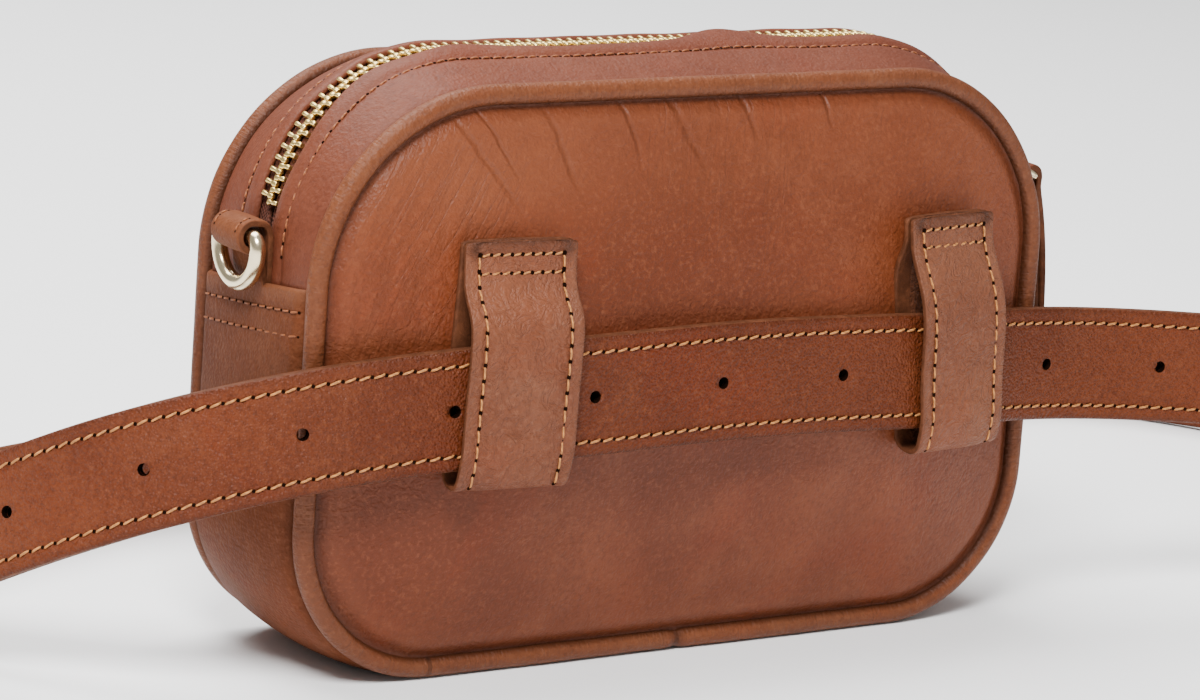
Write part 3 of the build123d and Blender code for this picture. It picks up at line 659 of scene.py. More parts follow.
class Sewing:
    """Stitches, and near-black discs of painted shade at the needle holes, gathered from many rows into
    two meshes.
    """

    def __init__(self):
        self.threads, self.thread_faces, self.holes, self.hole_faces = [], [], [], []
        self.count, self.hole_count = 0, 0

    def row(self, path, normals, pitch, length, thick, slant, hole):
        """One row of stitches along a path that lies on the leather."""
        at, lengths = resampled(path, pitch)
        step = lengths[-1] / len(at)
        place, tangent, normal = along_path(path, normals, at, lengths)
        side = np.cross(normal, tangent)
        turn = math.radians(slant)
        along = tangent * math.cos(turn) + side * math.sin(turn)
        across = np.cross(normal, along)
        half = step * length / 2
        template, ring = [], 7
        stations = np.linspace(-1, 1, 7)
        for t in stations:
            radius = thick * (1.0 - 0.35 * t ** 4)
            lift = thick * (0.72 - 1.35 * t ** 4)
            for k in range(ring):
                angle = 2 * math.pi * k / ring
                template.append((t * half, math.cos(angle) * radius, lift + math.sin(angle) * radius))
        faces = tube_faces(len(stations), ring)
        points, every = copies(template, faces, place, along, across, normal)
        self.threads.append(points)
        self.thread_faces += [[v + self.count for v in face] for face in every]
        self.count += len(points)
        at = np.arange(len(at) + 1) * step
        place, tangent, normal = along_path(path, normals, at, lengths)
        side = np.cross(normal, tangent)
        # Each needle hole is a small near-black disc on the leather: painted shade in the hole.
        disc = [(0, 0, 0.2)] + [(x, y * 0.9, 0.07) for x, y in arc(0, 0, hole, 0, 2 * math.pi, 9)[:-1]]
        rays = [[0, 1 + k, 1 + (k + 1) % 8] for k in range(8)]
        points, every = copies(disc, rays, place, tangent, side, normal)
        self.holes.append(points)
        self.hole_faces += [[v + self.hole_count for v in face] for face in every]
        self.hole_count += len(points)

    def make(self, name, body, materials, key="thread"):
        """The two meshes, riding on a body."""
        for title, points, faces, look in ((name, self.threads, self.thread_faces, key),
                                           (name + "_hole_shade", self.holes, self.hole_faces, "hole")):
            finish(make_mesh(title, np.concatenate(points), faces, [materials[look]]), body)


# ======== the belt's line ========
def spline(points, step, end_tangent):
    """A smooth line through points: it, its distances, equal steps, each given point's distance."""
    p = np.asarray(points, float)
    t = np.r_[0, np.cumsum(np.linalg.norm(np.diff(p, axis=0), axis=1))]
    h = np.diff(t)
    n = len(p)
    system = np.zeros((n, n))
    right = np.zeros((n, 3))
    system[0, 0] = 1.0
    right[0] = (p[1] - p[0]) / h[0]
    system[-1, -1] = 1.0
    right[-1] = np.array(end_tangent) / np.linalg.norm(end_tangent)
    for k in range(1, n - 1):
        system[k, k - 1], system[k, k], system[k, k + 1] = h[k], 2 * (h[k - 1] + h[k]), h[k - 1]
        right[k] = 3 * (h[k] * (p[k] - p[k - 1]) / h[k - 1] + h[k - 1] * (p[k + 1] - p[k]) / h[k])
    slope = np.linalg.solve(system, right)
    dense, marks = [], []
    for k in range(n - 1):
        u = np.linspace(0, 1, 60, endpoint=False)[:, None]
        dense.append(p[k] * (2 * u ** 3 - 3 * u ** 2 + 1) + slope[k] * h[k] * (u ** 3 - 2 * u ** 2 + u)
                     + p[k + 1] * (3 * u ** 2 - 2 * u ** 3) + slope[k + 1] * h[k] * (u ** 3 - u ** 2))
        marks.append(k * 60)
    dense = np.concatenate(dense + [p[-1:]])
    marks.append(len(dense) - 1)
    lengths = np.r_[0, np.cumsum(np.linalg.norm(np.diff(dense, axis=0), axis=1))]
    at = np.linspace(0, lengths[-1], int(lengths[-1] / step) + 1)
    return dense, lengths, at, lengths[marks]


class BeltLine:
    """The belt's middle line with its outward and widthwise directions."""

    def __init__(self):
        self.dense, self.lengths, _, marks = spline(BELT_ROUTE, 2.0, (1, 0.12, 0))
        self.length = self.lengths[-1]
        self.middle_hole = marks[MIDDLE_HOLE]
        self.tangent = unit(np.gradient(self.dense, axis=0))

    def at_distance(self, distance):
        """Position, along, out and across at distances, straight past the ends."""
        distance = np.atleast_1d(np.asarray(distance, float))
        held = np.clip(distance, 0, self.length)
        place = sampled(held, self.lengths, self.dense)
        along = unit(sampled(held, self.lengths, self.tangent))
        place = place + along * (distance - held)[:, None]
        inward = unit(np.cross(along, [0.0, 0.0, 1.0]))
        upright = np.cross(inward, along)
        share = held / self.length
        lean = np.radians(np.interp(share, *np.array(BELT_LEAN, float).T))[:, None]
        across = upright * np.cos(lean) + inward * np.sin(lean)
        return place, along, np.cross(across, along), across

    def holes(self):
        """Distances of the punched holes."""
        last = int((self.length - self.middle_hole) / (HOLE_PITCH / 2)) // 2
        return [self.middle_hole + n * HOLE_PITCH for n in range(-9, last + 1)]


# ======== the operators, one for each piece or group ========
def length_setting(name, description, default, least, most):
    """A length in metres that can be changed in the sidebar."""
    return bpy.props.FloatProperty(name=name, description=description, subtype="DISTANCE",
                                   unit="LENGTH", default=default, min=least, max=most)


class PackSettings(bpy.types.PropertyGroup):
    """Looks that can be changed before the pack is built."""

    tone: bpy.props.FloatVectorProperty(
        name="Leather", description="Middle colour of the leather", subtype="COLOR", size=3,
        default=(0.163, 0.0395, 0.0128), min=0.0, max=1.0)
    stitch: length_setting("Stitch", "Length of one belt stitch with its gap", 0.0033, 0.001, 0.01)
    slack: length_setting("Slack", "How far the gusset swells beyond the piping", 0.0026, 0.0, 0.006)
    softness: length_setting("Softness", "Depth of the dents in the panels", 0.0009, 0.0, 0.004)
    zip_cover: length_setting("Zip cover", "How far the near strip leans over the zip right of the middle",
                              0.0036, 0.0, 0.006)


MATERIALS = {}


def materials(context):
    """The materials, made once."""
    if not MATERIALS:
        MATERIALS.update(make_materials(context.scene.waist_pack))
    return MATERIALS


class WAISTPACK_OT_panels(bpy.types.Operator):
    """Back and front panels: pillowed leather that rises from under the piping."""

    bl_idname = "waistpack.panels"
    bl_label = "Panels"

    def execute(self, context):
        settings = context.scene.waist_pack
        for name, side in (("back_panel", -1), ("front_panel", 1)):
            a = np.linspace(0, AROUND, 360, endpoint=False)
            t = np.r_[0, 0.004, 0.012, 0.02, np.linspace(0.032, 1, 62)]
            x0, z0 = rim(a, PANEL_INSET)[:2]
            spine_x = np.clip(x0 * 0.56, -34, 34)
            spine_z = np.full_like(spine_x, HEIGHT / 2)
            x = x0[None] + (spine_x - x0)[None] * t[:, None]
            z = z0[None] + (spine_z - z0)[None] * t[:, None]
            depth = PANEL_INSET + t * 63.0
            out = (bulge(depth) - 1.5 * hill(depth, 5.4, 1.5))[:, None] * np.ones_like(x)
            low = np.clip((HEIGHT / 2 - z) / (HEIGHT / 2), -1, 1)
            fade = np.sin(np.clip(t, 0, 1) * math.pi * 0.5)[:, None] ** 0.7
            out = out * (1 + 0.07 * low * fade)
            points = space(x, 0.0, z)
            soft = settings.softness / MM
            dent = rough_field(points, 34.0, 3.1 + side) * 0.9
            dent += rough_field(points, 15.0, 7.7 + side) * 0.35
            pull = -0.8 * hill(x, -20, 26) * hill(z, 122, 9)
            pull -= 0.7 * hill(x, -74, 10) * hill(z, 112, 14)
            for k, place in enumerate((-62, -50, -31, -14, 6, 27, 49)):
                fold = hill(x - (z - 118) * 0.22, place, 2.2 + k % 3)
                pull -= 0.32 * fold * hill(z, 121, 9 + 2 * (k % 2))
            out = out + (dent * soft + pull) * fade
            points[..., 1] = side * (RIM_Y + 0.2 + np.maximum(out, -0.3))
            points[0, :, 1] = side * (RIM_Y - 0.6)
            faces = grid_faces(len(t), len(a), False, True, flip=side > 0)
            piece = make_mesh("leather_" + name, points, faces, [materials(context)["panel"]])
            shade = np.exp(-(np.maximum(depth - 4.6, 0.0) / 1.6) ** 1.5)[:, None] * np.ones_like(x)
            # Painted highlight on the ridge just inside the piping, painted light on the upper left, where
            # the key light falls, and painted light along the top, which faces the light.
            worn = 0.3 * hill(depth, 8.5, 2.0)[:, None] * np.ones_like(x)
            worn += 0.55 * hill(x, -58, 34) * hill(z, 113, 17)
            worn += 0.3 * hill(z, 119, 12)
            shade = np.maximum(shade * 0.9, 0.14 * np.clip((62.0 - z) / 40.0, 0.0, 1.0))
            carry(piece, shade=shade, worn=worn)
            modifier(piece, "WELD", merge_threshold=0.00005)
            soften(piece)
            finish(piece, "bag", [name])
        return {"FINISHED"}


class WAISTPACK_OT_piping(bpy.types.Operator):
    """Two rows of leather piping, with the join at the bottom."""

    bl_idname = "waistpack.piping"
    bl_label = "Piping"

    def execute(self, context):
        for name, side in (("back", -1), ("front", 1)):
            a = np.linspace(0, AROUND, 460, endpoint=False)
            x, z, nx, nz = rim(a, PIPING_INSET)
            flat = space(x, side * RIM_Y, z)
            wave = rough_field(flat, 42.0, 1.3 * side) * 0.5
            swell = rough_field(flat, 11.0, 5.5 * side) * 0.09
            y = side * (RIM_Y + wave * 0.8)
            path = space(x + nx * wave * 0.3, y, np.maximum(z + nz * wave * 0.3, PIPING_INSET))
            join = hill(a, KNOTS[1] * 0.52, 1.2)
            nick = hill(a, KNOTS[3] + 18, 1.5)
            radius = PIPING_R + swell - 0.42 * join - 0.2 * nick
            path[:, 2] = np.maximum(path[:, 2], radius + 0.1)
            piece = tube("leather_piping_" + name, path, radius, materials(context)["piping"], True, 26)
            shade = np.repeat(0.9 * join, 26)
            ring = np.tile(np.linspace(0, 2 * math.pi, 26, endpoint=False), len(a))
            by_panel = np.clip((np.sin(ring) - 0.5) / 0.4, 0, 1)
            by_strip = np.clip((-side * np.cos(ring) - 0.6) / 0.35, 0, 1)
            # Painted shade on the sides that meet the panel and the strip, in the grooves; the lighter
            # outer side is a painted highlight.
            carry(piece, shade=np.maximum.reduce([shade, by_panel, by_strip]),
                  worn=0.3 - 0.3 * by_panel, run=np.repeat(a, 26))
            finish(piece, "bag", [name + "_piping"])
        return {"FINISHED"}


def gusset_surface(a, y, slack):
    """The gusset's outer surface, swollen between the pipings."""
    away = np.abs(y)
    x, z, nx, nz = rim(a)
    height = np.interp(z, [0, 20, 60, 88], [0.75, 1.0, 0.7, 0.25])
    swell = slack * height * (1 - (away / 21.5) ** 2)
    curl = 3.6 * (1 - np.sqrt(1 - np.clip((away - 18.3) / 3.6, 0, 0.999) ** 2))
    inset = curl - swell
    x, z, nx, nz = rim(a, inset)
    return x, z, nx, nz


def fold_height(y):
    """Height of the gusset's folded edge, which drops a little towards the front."""
    return FOLD_Z - 0.8 - y * 0.1


class WAISTPACK_OT_gusset(bpy.types.Operator):
    """The bottom gusset, its folded upper edges and their two rows of stitches."""

    bl_idname = "waistpack.gusset"
    bl_label = "Gusset"

    def execute(self, context):
        slack = context.scene.waist_pack.slack / MM
        y = np.r_[np.linspace(-GUSSET_EDGE, -17.5, 9), np.linspace(-16, 16, 19),
                  np.linspace(17.5, GUSSET_EDGE, 9)]
        start = left_at(fold_height(y)) - AROUND
        end = right_at(fold_height(y))
        fine = np.linspace(0, 7.0 / GUSSET_RUN, 9)
        t = np.r_[fine, np.linspace(0.035, 0.965, 170), 1 - fine[::-1]]
        a = start[None] + (end - start)[None] * t[:, None]
        yy = np.broadcast_to(y, a.shape)
        x, z, nx, nz = gusset_surface(a, yy, slack)
        points = space(x, yy, z)
        normal = space(nx, 0.0, nz)
        for row, low in zip(GUSSET_ROWS, (0.30, 0.25)):
            for edge in (a - start[None], end[None] - a):
                points -= normal * (low * hill(edge, row, 0.9))[..., None]
        lumps = rough_field(points, 26.0, 2.2) * 0.55
        points += normal * (lumps * (1 - (np.abs(yy) / GUSSET_EDGE) ** 4))[..., None]
        points[..., 2] = np.maximum(points[..., 2], 0.15)
        roll = [(FOLD_R * math.sin(q), FOLD_R * (1 - math.cos(q))) for q in np.linspace(0, math.pi, 8)[1:]]
        before = [points[0] + (0.0, 0.0, s) - normal[0] * d for s, d in reversed(roll)]
        after = [points[-1] + (0.0, 0.0, s) - normal[-1] * d for s, d in roll]
        points = np.concatenate([before, points, after])
        faces = grid_faces(*points.shape[:2], flip=True)
        piece = make_mesh("leather_gusset", points, faces, [materials(context)["gusset"]])
        edge = np.r_[np.zeros(7), np.minimum(t, 1 - t) * GUSSET_RUN, np.zeros(7)]
        worn = hill(edge, 0.0, 1.6)[:, None] * np.ones(len(y))
        shade = (np.clip((np.abs(y) - 19.5) / 3, 0, 1) ** 2)[None] * np.ones((points.shape[0], 1))
        carry(piece, worn=worn * 0.8, shade=shade * 0.7)
        soften(piece)
        finish(piece, "bag", ["bottom_gusset"])
        sewing = Sewing()
        for side in (-1, 1):
            for row in GUSSET_ROWS:
                ys = np.linspace(-20.2, 20.2, 60)
                high = fold_height(ys)
                at = left_at(high) + row - AROUND if side < 0 else right_at(high) - row
                x, z, nx, nz = gusset_surface(at, ys, slack)
                path = space(x, ys, z)
                normals = space(nx, 0.0, nz)
                path -= normals * 0.18
                sewing.row(path, normals, 3.1, 0.72, 0.24, 4.0, 0.4)
        sewing.make("stitches_gusset", "bag", materials(context), "dark_thread")
        return {"FINISHED"}


def cover(a, side):
    """How far a strip's fold leans over the zip at distances round the outline."""
    if side > 0:
        return 0.5 * np.sin(a * 0.09) + 0.35 * np.sin(a * 0.21 + 1.0)
    wave = 0.45 * np.sin(a * 0.075 + 0.6) + 0.3 * np.sin(a * 0.17)
    return wave + hill(a - KNOTS[4], 41.0, 12.0)


def strip_surface(a, y, side, settings):
    """The outer surface of a zip strip, at depths y from the middle of the bag."""
    share = np.clip((STRIP_Y - y) / (STRIP_Y - SLOT_Y), 0, 1.15)
    rise = ZIP_RISE * share
    hollow = 0.9 * np.sin(np.clip(share, 0, 1) * math.pi)
    pucker = 0.30 * np.sin(a * 0.33) * np.clip(share - 0.55, 0, 1) * 2
    dip = 0.38 * hill(y, SLOT_Y + 5.0, 0.8)
    swell = 0.35 * hill(y, SLOT_Y + 2.4, 1.8)
    curl = 2.6 * (1 - np.sqrt(1 - np.clip((y - 19.6) / 3.1, 0, 0.999) ** 2))
    inset = STRIP_INSET + curl - hollow * 0.5 + dip - swell - pucker * 0.4
    x, z, nx, nz = rim(a, inset, rise)
    over = cover(a, side) * np.clip((share - 0.45) / 0.55, 0, 1.3) ** 2
    hump = over * (settings.zip_cover / MM if side < 0 else 0.8)
    shift = np.where(hump > 0, hump, hump * 0.35)
    if side < 0:
        z = z + np.clip(shift, 0, 5) * 0.35 * np.clip(nz, 0, 1)
    return x, side * (y - shift), z, nx, nz


class WAISTPACK_OT_strips(bpy.types.Operator):
    """The two folded strips that carry the zip, with a row of stitches along each fold."""

    bl_idname = "waistpack.strips"
    bl_label = "Zip strips"

    def execute(self, context):
        settings = context.scene.waist_pack
        sewing = Sewing()
        a = np.linspace(right_at(STRIP_FOOT_Z), left_at(STRIP_FOOT_Z), 330)
        for name, side in (("back", -1), ("front", 1)):
            y = np.r_[np.linspace(22.5, 18.5, 8), np.linspace(17.5, 11, 8),
                      np.linspace(10.4, SLOT_Y + 0.6, 15)]
            aa, yy = np.broadcast_arrays(a[:, None], y[None])
            x, py, z, nx, nz = strip_surface(aa, yy, side, settings)
            points = space(x, py, z)
            normal = space(nx, 0.0, nz)
            points += normal * (rough_field(points, 19.0, 4.4 * side) * 0.35)[..., None]
            roll = []
            for q in np.linspace(0, math.pi, 9)[1:]:
                row = points[:, -1] - normal[:, -1] * (1 - math.cos(q)) * FOLD_R
                roll.append(row - (0.0, side * math.sin(q) * FOLD_R, 0.0))
            back = roll[-1] + (0.0, side * 7.0, 0.0) - normal[:, -1] * 1.6
            points = np.concatenate([points, np.stack(roll, 1), back[:, None]], 1)
            faces = grid_faces(*points.shape[:2], flip=side > 0)
            piece = make_mesh("leather_zip_strip_" + name, points, faces, [materials(context)["strip"]])
            count = points.shape[1]
            from_fold = np.r_[y - SLOT_Y, np.zeros(count - len(y))]
            worn = hill(from_fold, 0.0, 1.1)
            shade = np.clip((np.r_[y, np.full(count - len(y), 0)] - 19.8) / 2.6, 0, 1) ** 2
            shade[-4:] = 0.9
            worn[-4:] = 0
            carry(piece, worn=np.tile(worn * 0.6, (len(a), 1)), shade=np.tile(shade * 0.7, (len(a), 1)))
            soften(piece)
            finish(piece, "bag", ["zip_strip_" + name])
            keep = (a > right_at(90.5)) & (a < left_at(90.5))
            row_y = np.full(keep.sum(), SLOT_Y + 5.0)
            x, py, z, nx, nz = strip_surface(a[keep], row_y, side, settings)
            path = space(x, py, z)
            normals = space(nx, side * 0.3, nz)
            path += space(nx, 0.0, nz) * 0.05
            sewing.row(path, normals, 3.0, 0.76, 0.25, 5.0, 0.4)
        sewing.make("stitches_zip_strips", "bag", materials(context), "dark_thread")
        return {"FINISHED"}


class WAISTPACK_OT_zip(bpy.types.Operator):
    """Zip tapes with their beads, and rows of interlocked brass teeth."""

    bl_idname = "waistpack.zip"
    bl_label = "Zip"

    def execute(self, context):
        made = materials(context)
        a = np.linspace(right_at(STRIP_FOOT_Z), left_at(STRIP_FOOT_Z), 300)
        for name, side in (("back", -1), ("front", 1)):
            y = np.array([0.55, 0.75, 1.1, 1.6, 2.6, 4.0, 6.0, 9.0, 12.6])
            lift = np.array([-0.5, 0.1, 0.35, 0.1, 0, 0, 0, -0.2, -1.2])
            aa, yy = np.broadcast_arrays(a[:, None], y[None])
            x, z = rim(aa, TAPE_INSET + 0.15 - lift[None], ZIP_RISE)[:2]
            points = space(x, side * yy, z)
            faces = grid_faces(len(a), len(y), flip=side > 0)
            tape = make_mesh("cloth_zip_tape_" + name, points, faces, [made["tape"]])
            modifier(tape, "SOLIDIFY", thickness=0.0005, offset=-1.0)
            finish(tape, "bag", ["zip_tape_" + name])
            self.teeth(context, name, side)
        return {"FINISHED"}

    def teeth(self, context, name, side):
        """One row: each tooth is a clamped bar with a hooked head that reaches past the middle."""
        radius = TOP_R - TAPE_INSET + 0.05 + 0.95
        centre_z = HEIGHT + ZIP_RISE - TOP_R
        right_turn = math.radians(18.0 + 6.5 * 0.3)
        left_turn = math.asin((ZIP_END_Z - centre_z) / radius)
        flat = HALF_WIDTH - TOP_R
        arcs = ((math.pi / 2 - right_turn) * radius, 2 * flat, (math.pi / 2 - left_turn) * radius)
        total = sum(arcs)
        first = 0.7 + (TOOTH_PITCH / 2 if side > 0 else 0.0)
        at = np.arange(first, total - 1.0, TOOTH_PITCH)
        turn = np.where(at < arcs[0], right_turn + at / radius, math.pi / 2)
        late = at > arcs[0] + arcs[1]
        turn = np.where(late, math.pi / 2 + (at - arcs[0] - arcs[1]) / radius, turn)
        core = np.clip(flat - (at - arcs[0]), -flat, flat)
        place = space(core + radius * np.cos(turn), 0.0, centre_z + radius * np.sin(turn))
        outward = space(np.cos(turn), 0.0, np.sin(turn))
        along = space(-np.sin(turn), 0.0, np.cos(turn))
        across = np.array([0.0, float(side), 0.0])
        tilt = math.radians(4.0)
        lean = along * math.cos(tilt) + across * math.sin(tilt)
        reach = across * math.cos(tilt) - along * math.sin(tilt)
        stations = ((-0.75, 0.30, 0.30), (-0.62, 0.60, 0.55), (-0.1, 0.68, 0.66), (0.7, 0.66, 0.66),
                    (1.05, 0.36, 0.52), (1.5, 0.42, 0.70), (2.4, 0.56, 0.82), (3.1, 0.58, 0.82),
                    (3.35, 0.50, 0.7), (3.45, 0.25, 0.4))
        template, ring = [], 12
        for y, half, high in stations:
            for k in range(ring):
                angle = 2 * math.pi * (k + 0.5) / ring
                c, s = math.cos(angle), math.sin(angle)
                power = 0.55
                template.append((math.copysign(abs(c) ** power, c) * half, y,
                                 math.copysign(abs(s) ** power, s) * high))
        faces = tube_faces(len(stations), ring)
        points, every = copies(template, faces, place, lean, reach, outward)
        teeth = make_mesh("brass_teeth_" + name, points, every, [materials(context)["teeth"]])
        finish(teeth, "bag", ["zip_teeth_" + name])


class WAISTPACK_OT_rings(bpy.types.Operator):
    """D-rings on their bars, and the rolled leather tabs that hold them."""

    bl_idname = "waistpack.rings"
    bl_label = "D-rings and tabs"

    def execute(self, context):
        made = materials(context)
        sewing = Sewing()
        for name, end in (("left", -1), ("right", 1)):
            low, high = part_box("d_ring_" + name)
            bar_x = (low.x + high.x) / 2 / MM
            bar_z = high.z / MM - RING_WIRE
            arm, depth, corner = 8.3, 11.2, 2.4
            outline = [(t, 0.0) for t in np.linspace(-(arm - corner), arm - corner, 12)]
            outline += arc(arm - corner, -corner, corner, math.pi / 2 - 0.2, 0, 7)
            radius = ((arm ** 2) + (depth - corner) ** 2) / (2 * (depth - corner))
            middle = -depth + radius
            start = math.asin((-corner - middle) / radius)
            outline += arc(0, middle, radius, start, -math.pi - start, 44)[1:]
            outline += arc(corner - arm, -corner, corner, math.pi - 0.15, math.pi / 2 + 0.2, 6)
            path = [(bar_x, y, bar_z + z) for y, z in outline]
            ring = tube("gold_d_ring_" + name, path, RING_WIRE, made["gold"], True, 24)
            finish(ring, "ring_" + name, ["d_ring_" + name])
            self.tab(context, name, end, bar_x, bar_z, sewing)
        sewing.make("stitches_tabs", "bag", made, "dark_thread")
        return {"FINISHED"}

    def tab(self, context, name, end, bar_x, bar_z, sewing):
        """A strip rolled over the bar, both its ends sewn under the gusset's folded edge."""
        made = materials(context)
        r = 3.1
        inner_x, tail_x = -100.45, -102.35
        centre = -abs(bar_x)
        path = [(inner_x, z) for z in np.linspace(82.0, 98.0, 10)]
        path += [(inner_x - 0.2, 99.6), (inner_x - 0.7, 101.0), (inner_x - 1.7, 102.2)]
        path += arc(centre, bar_z, r, *np.radians((72, 318)), 34)
        path += [(tail_x + dx, z) for dx, z in (
            (-0.35, 95.4), (-0.1, 94.2), (0.0, 93.0), (0.15, 91.6), (0.4, 90.2),
            (0.9, 88.9), (1.3, 87.4), (1.4, 85.5))]
        origin, outward = upright(np.array(path), 1)
        if end > 0:
            origin[:, 0] *= -1
            outward[:, 0] *= -1
        piece = strip("leather_tab_" + name, origin, outward, (0.0, 1.0, 0.0),
                      (TAB_HALF, -0.8, 0.8, 0.55, 0.3, 0.12), [made["gusset"], made["edge"]])
        carry(piece, worn=0.35, shade=0.0)
        soften(piece)
        finish(piece, "bag", ["d_ring_tab_" + name])
        where = slice(16, 26)
        for side in (1.6 - TAB_HALF, TAB_HALF - 1.6):
            line = origin[where] + outward[where] * 0.82 + (0.0, side, 0.0)
            sewing.row(line, outward[where], 2.6, 0.7, 0.2, 3.0, 0.3)


class WAISTPACK_OT_pull(bpy.types.Operator):
    """The zip's slider, wire link, stops and the folded leather pull."""

    bl_idname = "waistpack.pull"
    bl_label = "Slider and pull"

    def execute(self, context):
        made = materials(context)
        for node in ("zip_slider", "zip_pull_link", "zip_stop_back", "zip_stop_front"):
            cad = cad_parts[node]
            cad.data.materials.clear()
            cad.data.materials.append(made["teeth" if "stop" in node else "gold"])
        low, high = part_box("zip_pull_leather")
        x = (low.x + high.x) / 2 / MM
        top = high.z / MM - 2.9
        bottom = low.z / MM
        r = 2.0
        share = np.linspace(0, 0.93, 16)
        away = 0.95 + 0.25 * np.sin(share * math.pi)
        height = bottom + share * (top - bottom)
        bow = arc(x, top, r, *np.radians((200, -20)), 22)
        path = np.r_[np.c_[x - away, height], bow, np.c_[x + away, height][::-1]]
        path[:, 0] += 7.0 * (1 - np.exp(-np.maximum(top - path[:, 1], 0) / 22.0))
        origin, outward = upright(path, -1)
        from_end = np.minimum(np.arange(len(path)), np.arange(len(path))[::-1]) * (top - bottom) / 16
        past = 1.0 - np.minimum(from_end / 3.0, 1.0)
        scale = 0.4 + 0.6 * np.sqrt(1 - past ** 2)
        piece = strip("leather_pull", origin, outward, (0.0, 1.0, 0.0),
                      (PULL_HALF, -0.85, 0.85, 0.5, 0.3, 0.1), [made["belt"], made["edge"]], scale=scale)
        carry(piece, worn=0.15, shade=0.0)
        soften(piece)
        finish(piece, "pull_leather", ["zip_pull_leather"])
        sewing = Sewing()
        outer = slice(len(path) - 15, len(path) - 1)
        inner = slice(1, 15)
        for part in (inner, outer):
            for side in (1.6 - PULL_HALF, PULL_HALF - 1.6):
                line = origin[part] + outward[part] * 0.9 + (0.0, side, 0.0)
                sewing.row(line, outward[part], 2.9, 0.76, 0.24, 6.0, 0.36)
        sewing.make("stitches_pull", "pull_leather", made)
        return {"FINISHED"}


class WAISTPACK_OT_belt(bpy.types.Operator):
    """The two-ply belt: punched holes, rounded edges, a tip, a fold at the buckle, and stitches."""

    bl_idname = "waistpack.belt"
    bl_label = "Belt"

    def execute(self, context):
        made = materials(context)
        line = BeltLine()
        tip = line.length + TIP_START + TIP_R * np.sin(np.linspace(0, math.pi / 2, 14))
        distance = np.r_[np.arange(0, line.length + 14, 2.1), tip]
        place, _, out, across = line.at_distance(distance)
        past = np.clip(distance - line.length - TIP_START, 0, TIP_R - 0.02)
        scale = (BELT_HALF - TIP_R + np.sqrt(TIP_R ** 2 - past ** 2)) / BELT_HALF
        plies = []
        for name, side in (("face", 1), ("lining", -1)):
            section, cut = plate_section(BELT_HALF, 0.03, BELT_PLY, 0.95, 0.2, 0.06,
                                         [(-BELT_ROW, 0.16, 0.8), (BELT_ROW, 0.16, 0.8)])
            piece = sweep_plate("leather_belt_" + name, place, out * side, across * side, section, cut,
                                [made["belt"], made["edge"]], scale=scale)
            away = np.abs(np.tile(section[:, 0], len(distance)))
            carry(piece, worn=0.0, shade=0.5 * hill(away, BELT_HALF, 1.1))
            plies.append(piece)
        cutter = self.cutter(line)
        for piece in plies:
            # The transfer gives the punched hole walls the near-black hole colour: painted shade inside
            # the holes.
            modifier(piece, "BOOLEAN", object=cutter, operation="DIFFERENCE", solver="EXACT",
                     material_mode="TRANSFER")
            applied(piece)
        bpy.data.objects.remove(cutter)
        finish(plies[0], "belt", ["belt_face"])
        finish(plies[1], "belt", ["belt_lining"])
        self.fold(context)
        pitch = context.scene.waist_pack.stitch / MM
        sewing = Sewing()
        at = np.arange(9.0, line.length + 13.0, 1.5)
        place, _, out, across = line.at_distance(at)
        for side in (1, -1):
            for row in (-BELT_ROW, BELT_ROW):
                path = place + across * row + out * side * (BELT_PLY - 0.02)
                sewing.row(path, out * side, pitch, 0.84, 0.28, 13.0 * side, 0.46)
        for side in (1, -1):
            for shift in (3.0, 23.0):
                place, _, out, across = line.at_distance(shift)
                width = np.linspace(-9.4, 9.4, 12)[:, None]
                path = place[0] + across[0] * width + out[0] * side * (BELT_PLY + 0.05)
                sewing.row(path, np.tile(out[0] * side, (12, 1)), pitch, 0.84, 0.28, 13.0, 0.46)
        sewing.make("stitches_belt", "belt", made)
        return {"FINISHED"}

    def cutter(self, line):
        """Round punches, one for each hole."""
        place, along, out, across = line.at_distance(line.holes())
        ring = 20
        template = []
        for depth in (-4.0, 4.0):
            template += [(x, y, depth) for x, y in arc(0, 0, PUNCH_R, 0, 2 * math.pi, ring + 1)[:-1]]
        faces = [[k, (k + 1) % ring, ring + (k + 1) % ring, ring + k] for k in range(ring)]
        faces += [list(range(ring))[::-1], [ring + k for k in range(ring)]]
        points, every = copies(template, faces, place, along, across * -1, out)
        return make_mesh("punches", points, every, [MATERIALS["hole"]], smooth=False)

    def fold(self, context):
        """The face ply's fold round the buckle's bar, slotted for the prong."""
        made = materials(context)
        x0, y0, z0 = BAR
        r = 2.1 + BELT_PLY / 2
        half = BELT_PLY / 2
        start = 62.0
        path = [(start + 0.2, y0 + half + 0.02)]
        path += arc(x0, y0, r, *np.radians((90 - 14, 270 + 14)), 30)
        path += [(start + 0.2, y0 - half - 0.02)]
        dense, lengths, at, _ = spline([(x, y, 0) for x, y in path], 0.6, (1, 0, 0))
        points = sampled(at, lengths, dense)
        tangent = unit(np.gradient(points, axis=0))
        outward = space(-tangent[:, 1], tangent[:, 0], 0.0)
        if outward[len(points) // 2][0] > 0:
            outward = -outward
        origin = space(points[:, 0], points[:, 1], z0)
        piece = strip("leather_belt_fold", origin, outward, (0.0, 0.0, 1.0),
                      (BELT_HALF, -half, half, 0.8, 0.3, 0.04), [made["belt"], made["edge"]])
        carry(piece, worn=0.1, shade=0.0)
        box = [(x, y, z) for x in (x0 - 8, x0 + 6.2) for y in (y0 - 8, y0 + 8)
               for z in (z0 - 2.2, z0 + 2.2)]
        sides = [[0, 1, 3, 2], [4, 6, 7, 5], [0, 4, 5, 1], [2, 3, 7, 6], [0, 2, 6, 4], [1, 5, 7, 3]]
        slot = make_mesh("prong_slot", box, sides, [made["edge"]], smooth=False)
        modifier(piece, "BOOLEAN", object=slot, operation="DIFFERENCE", solver="EXACT")
        applied(piece)
        bpy.data.objects.remove(slot)
        finish(piece, "belt", [])


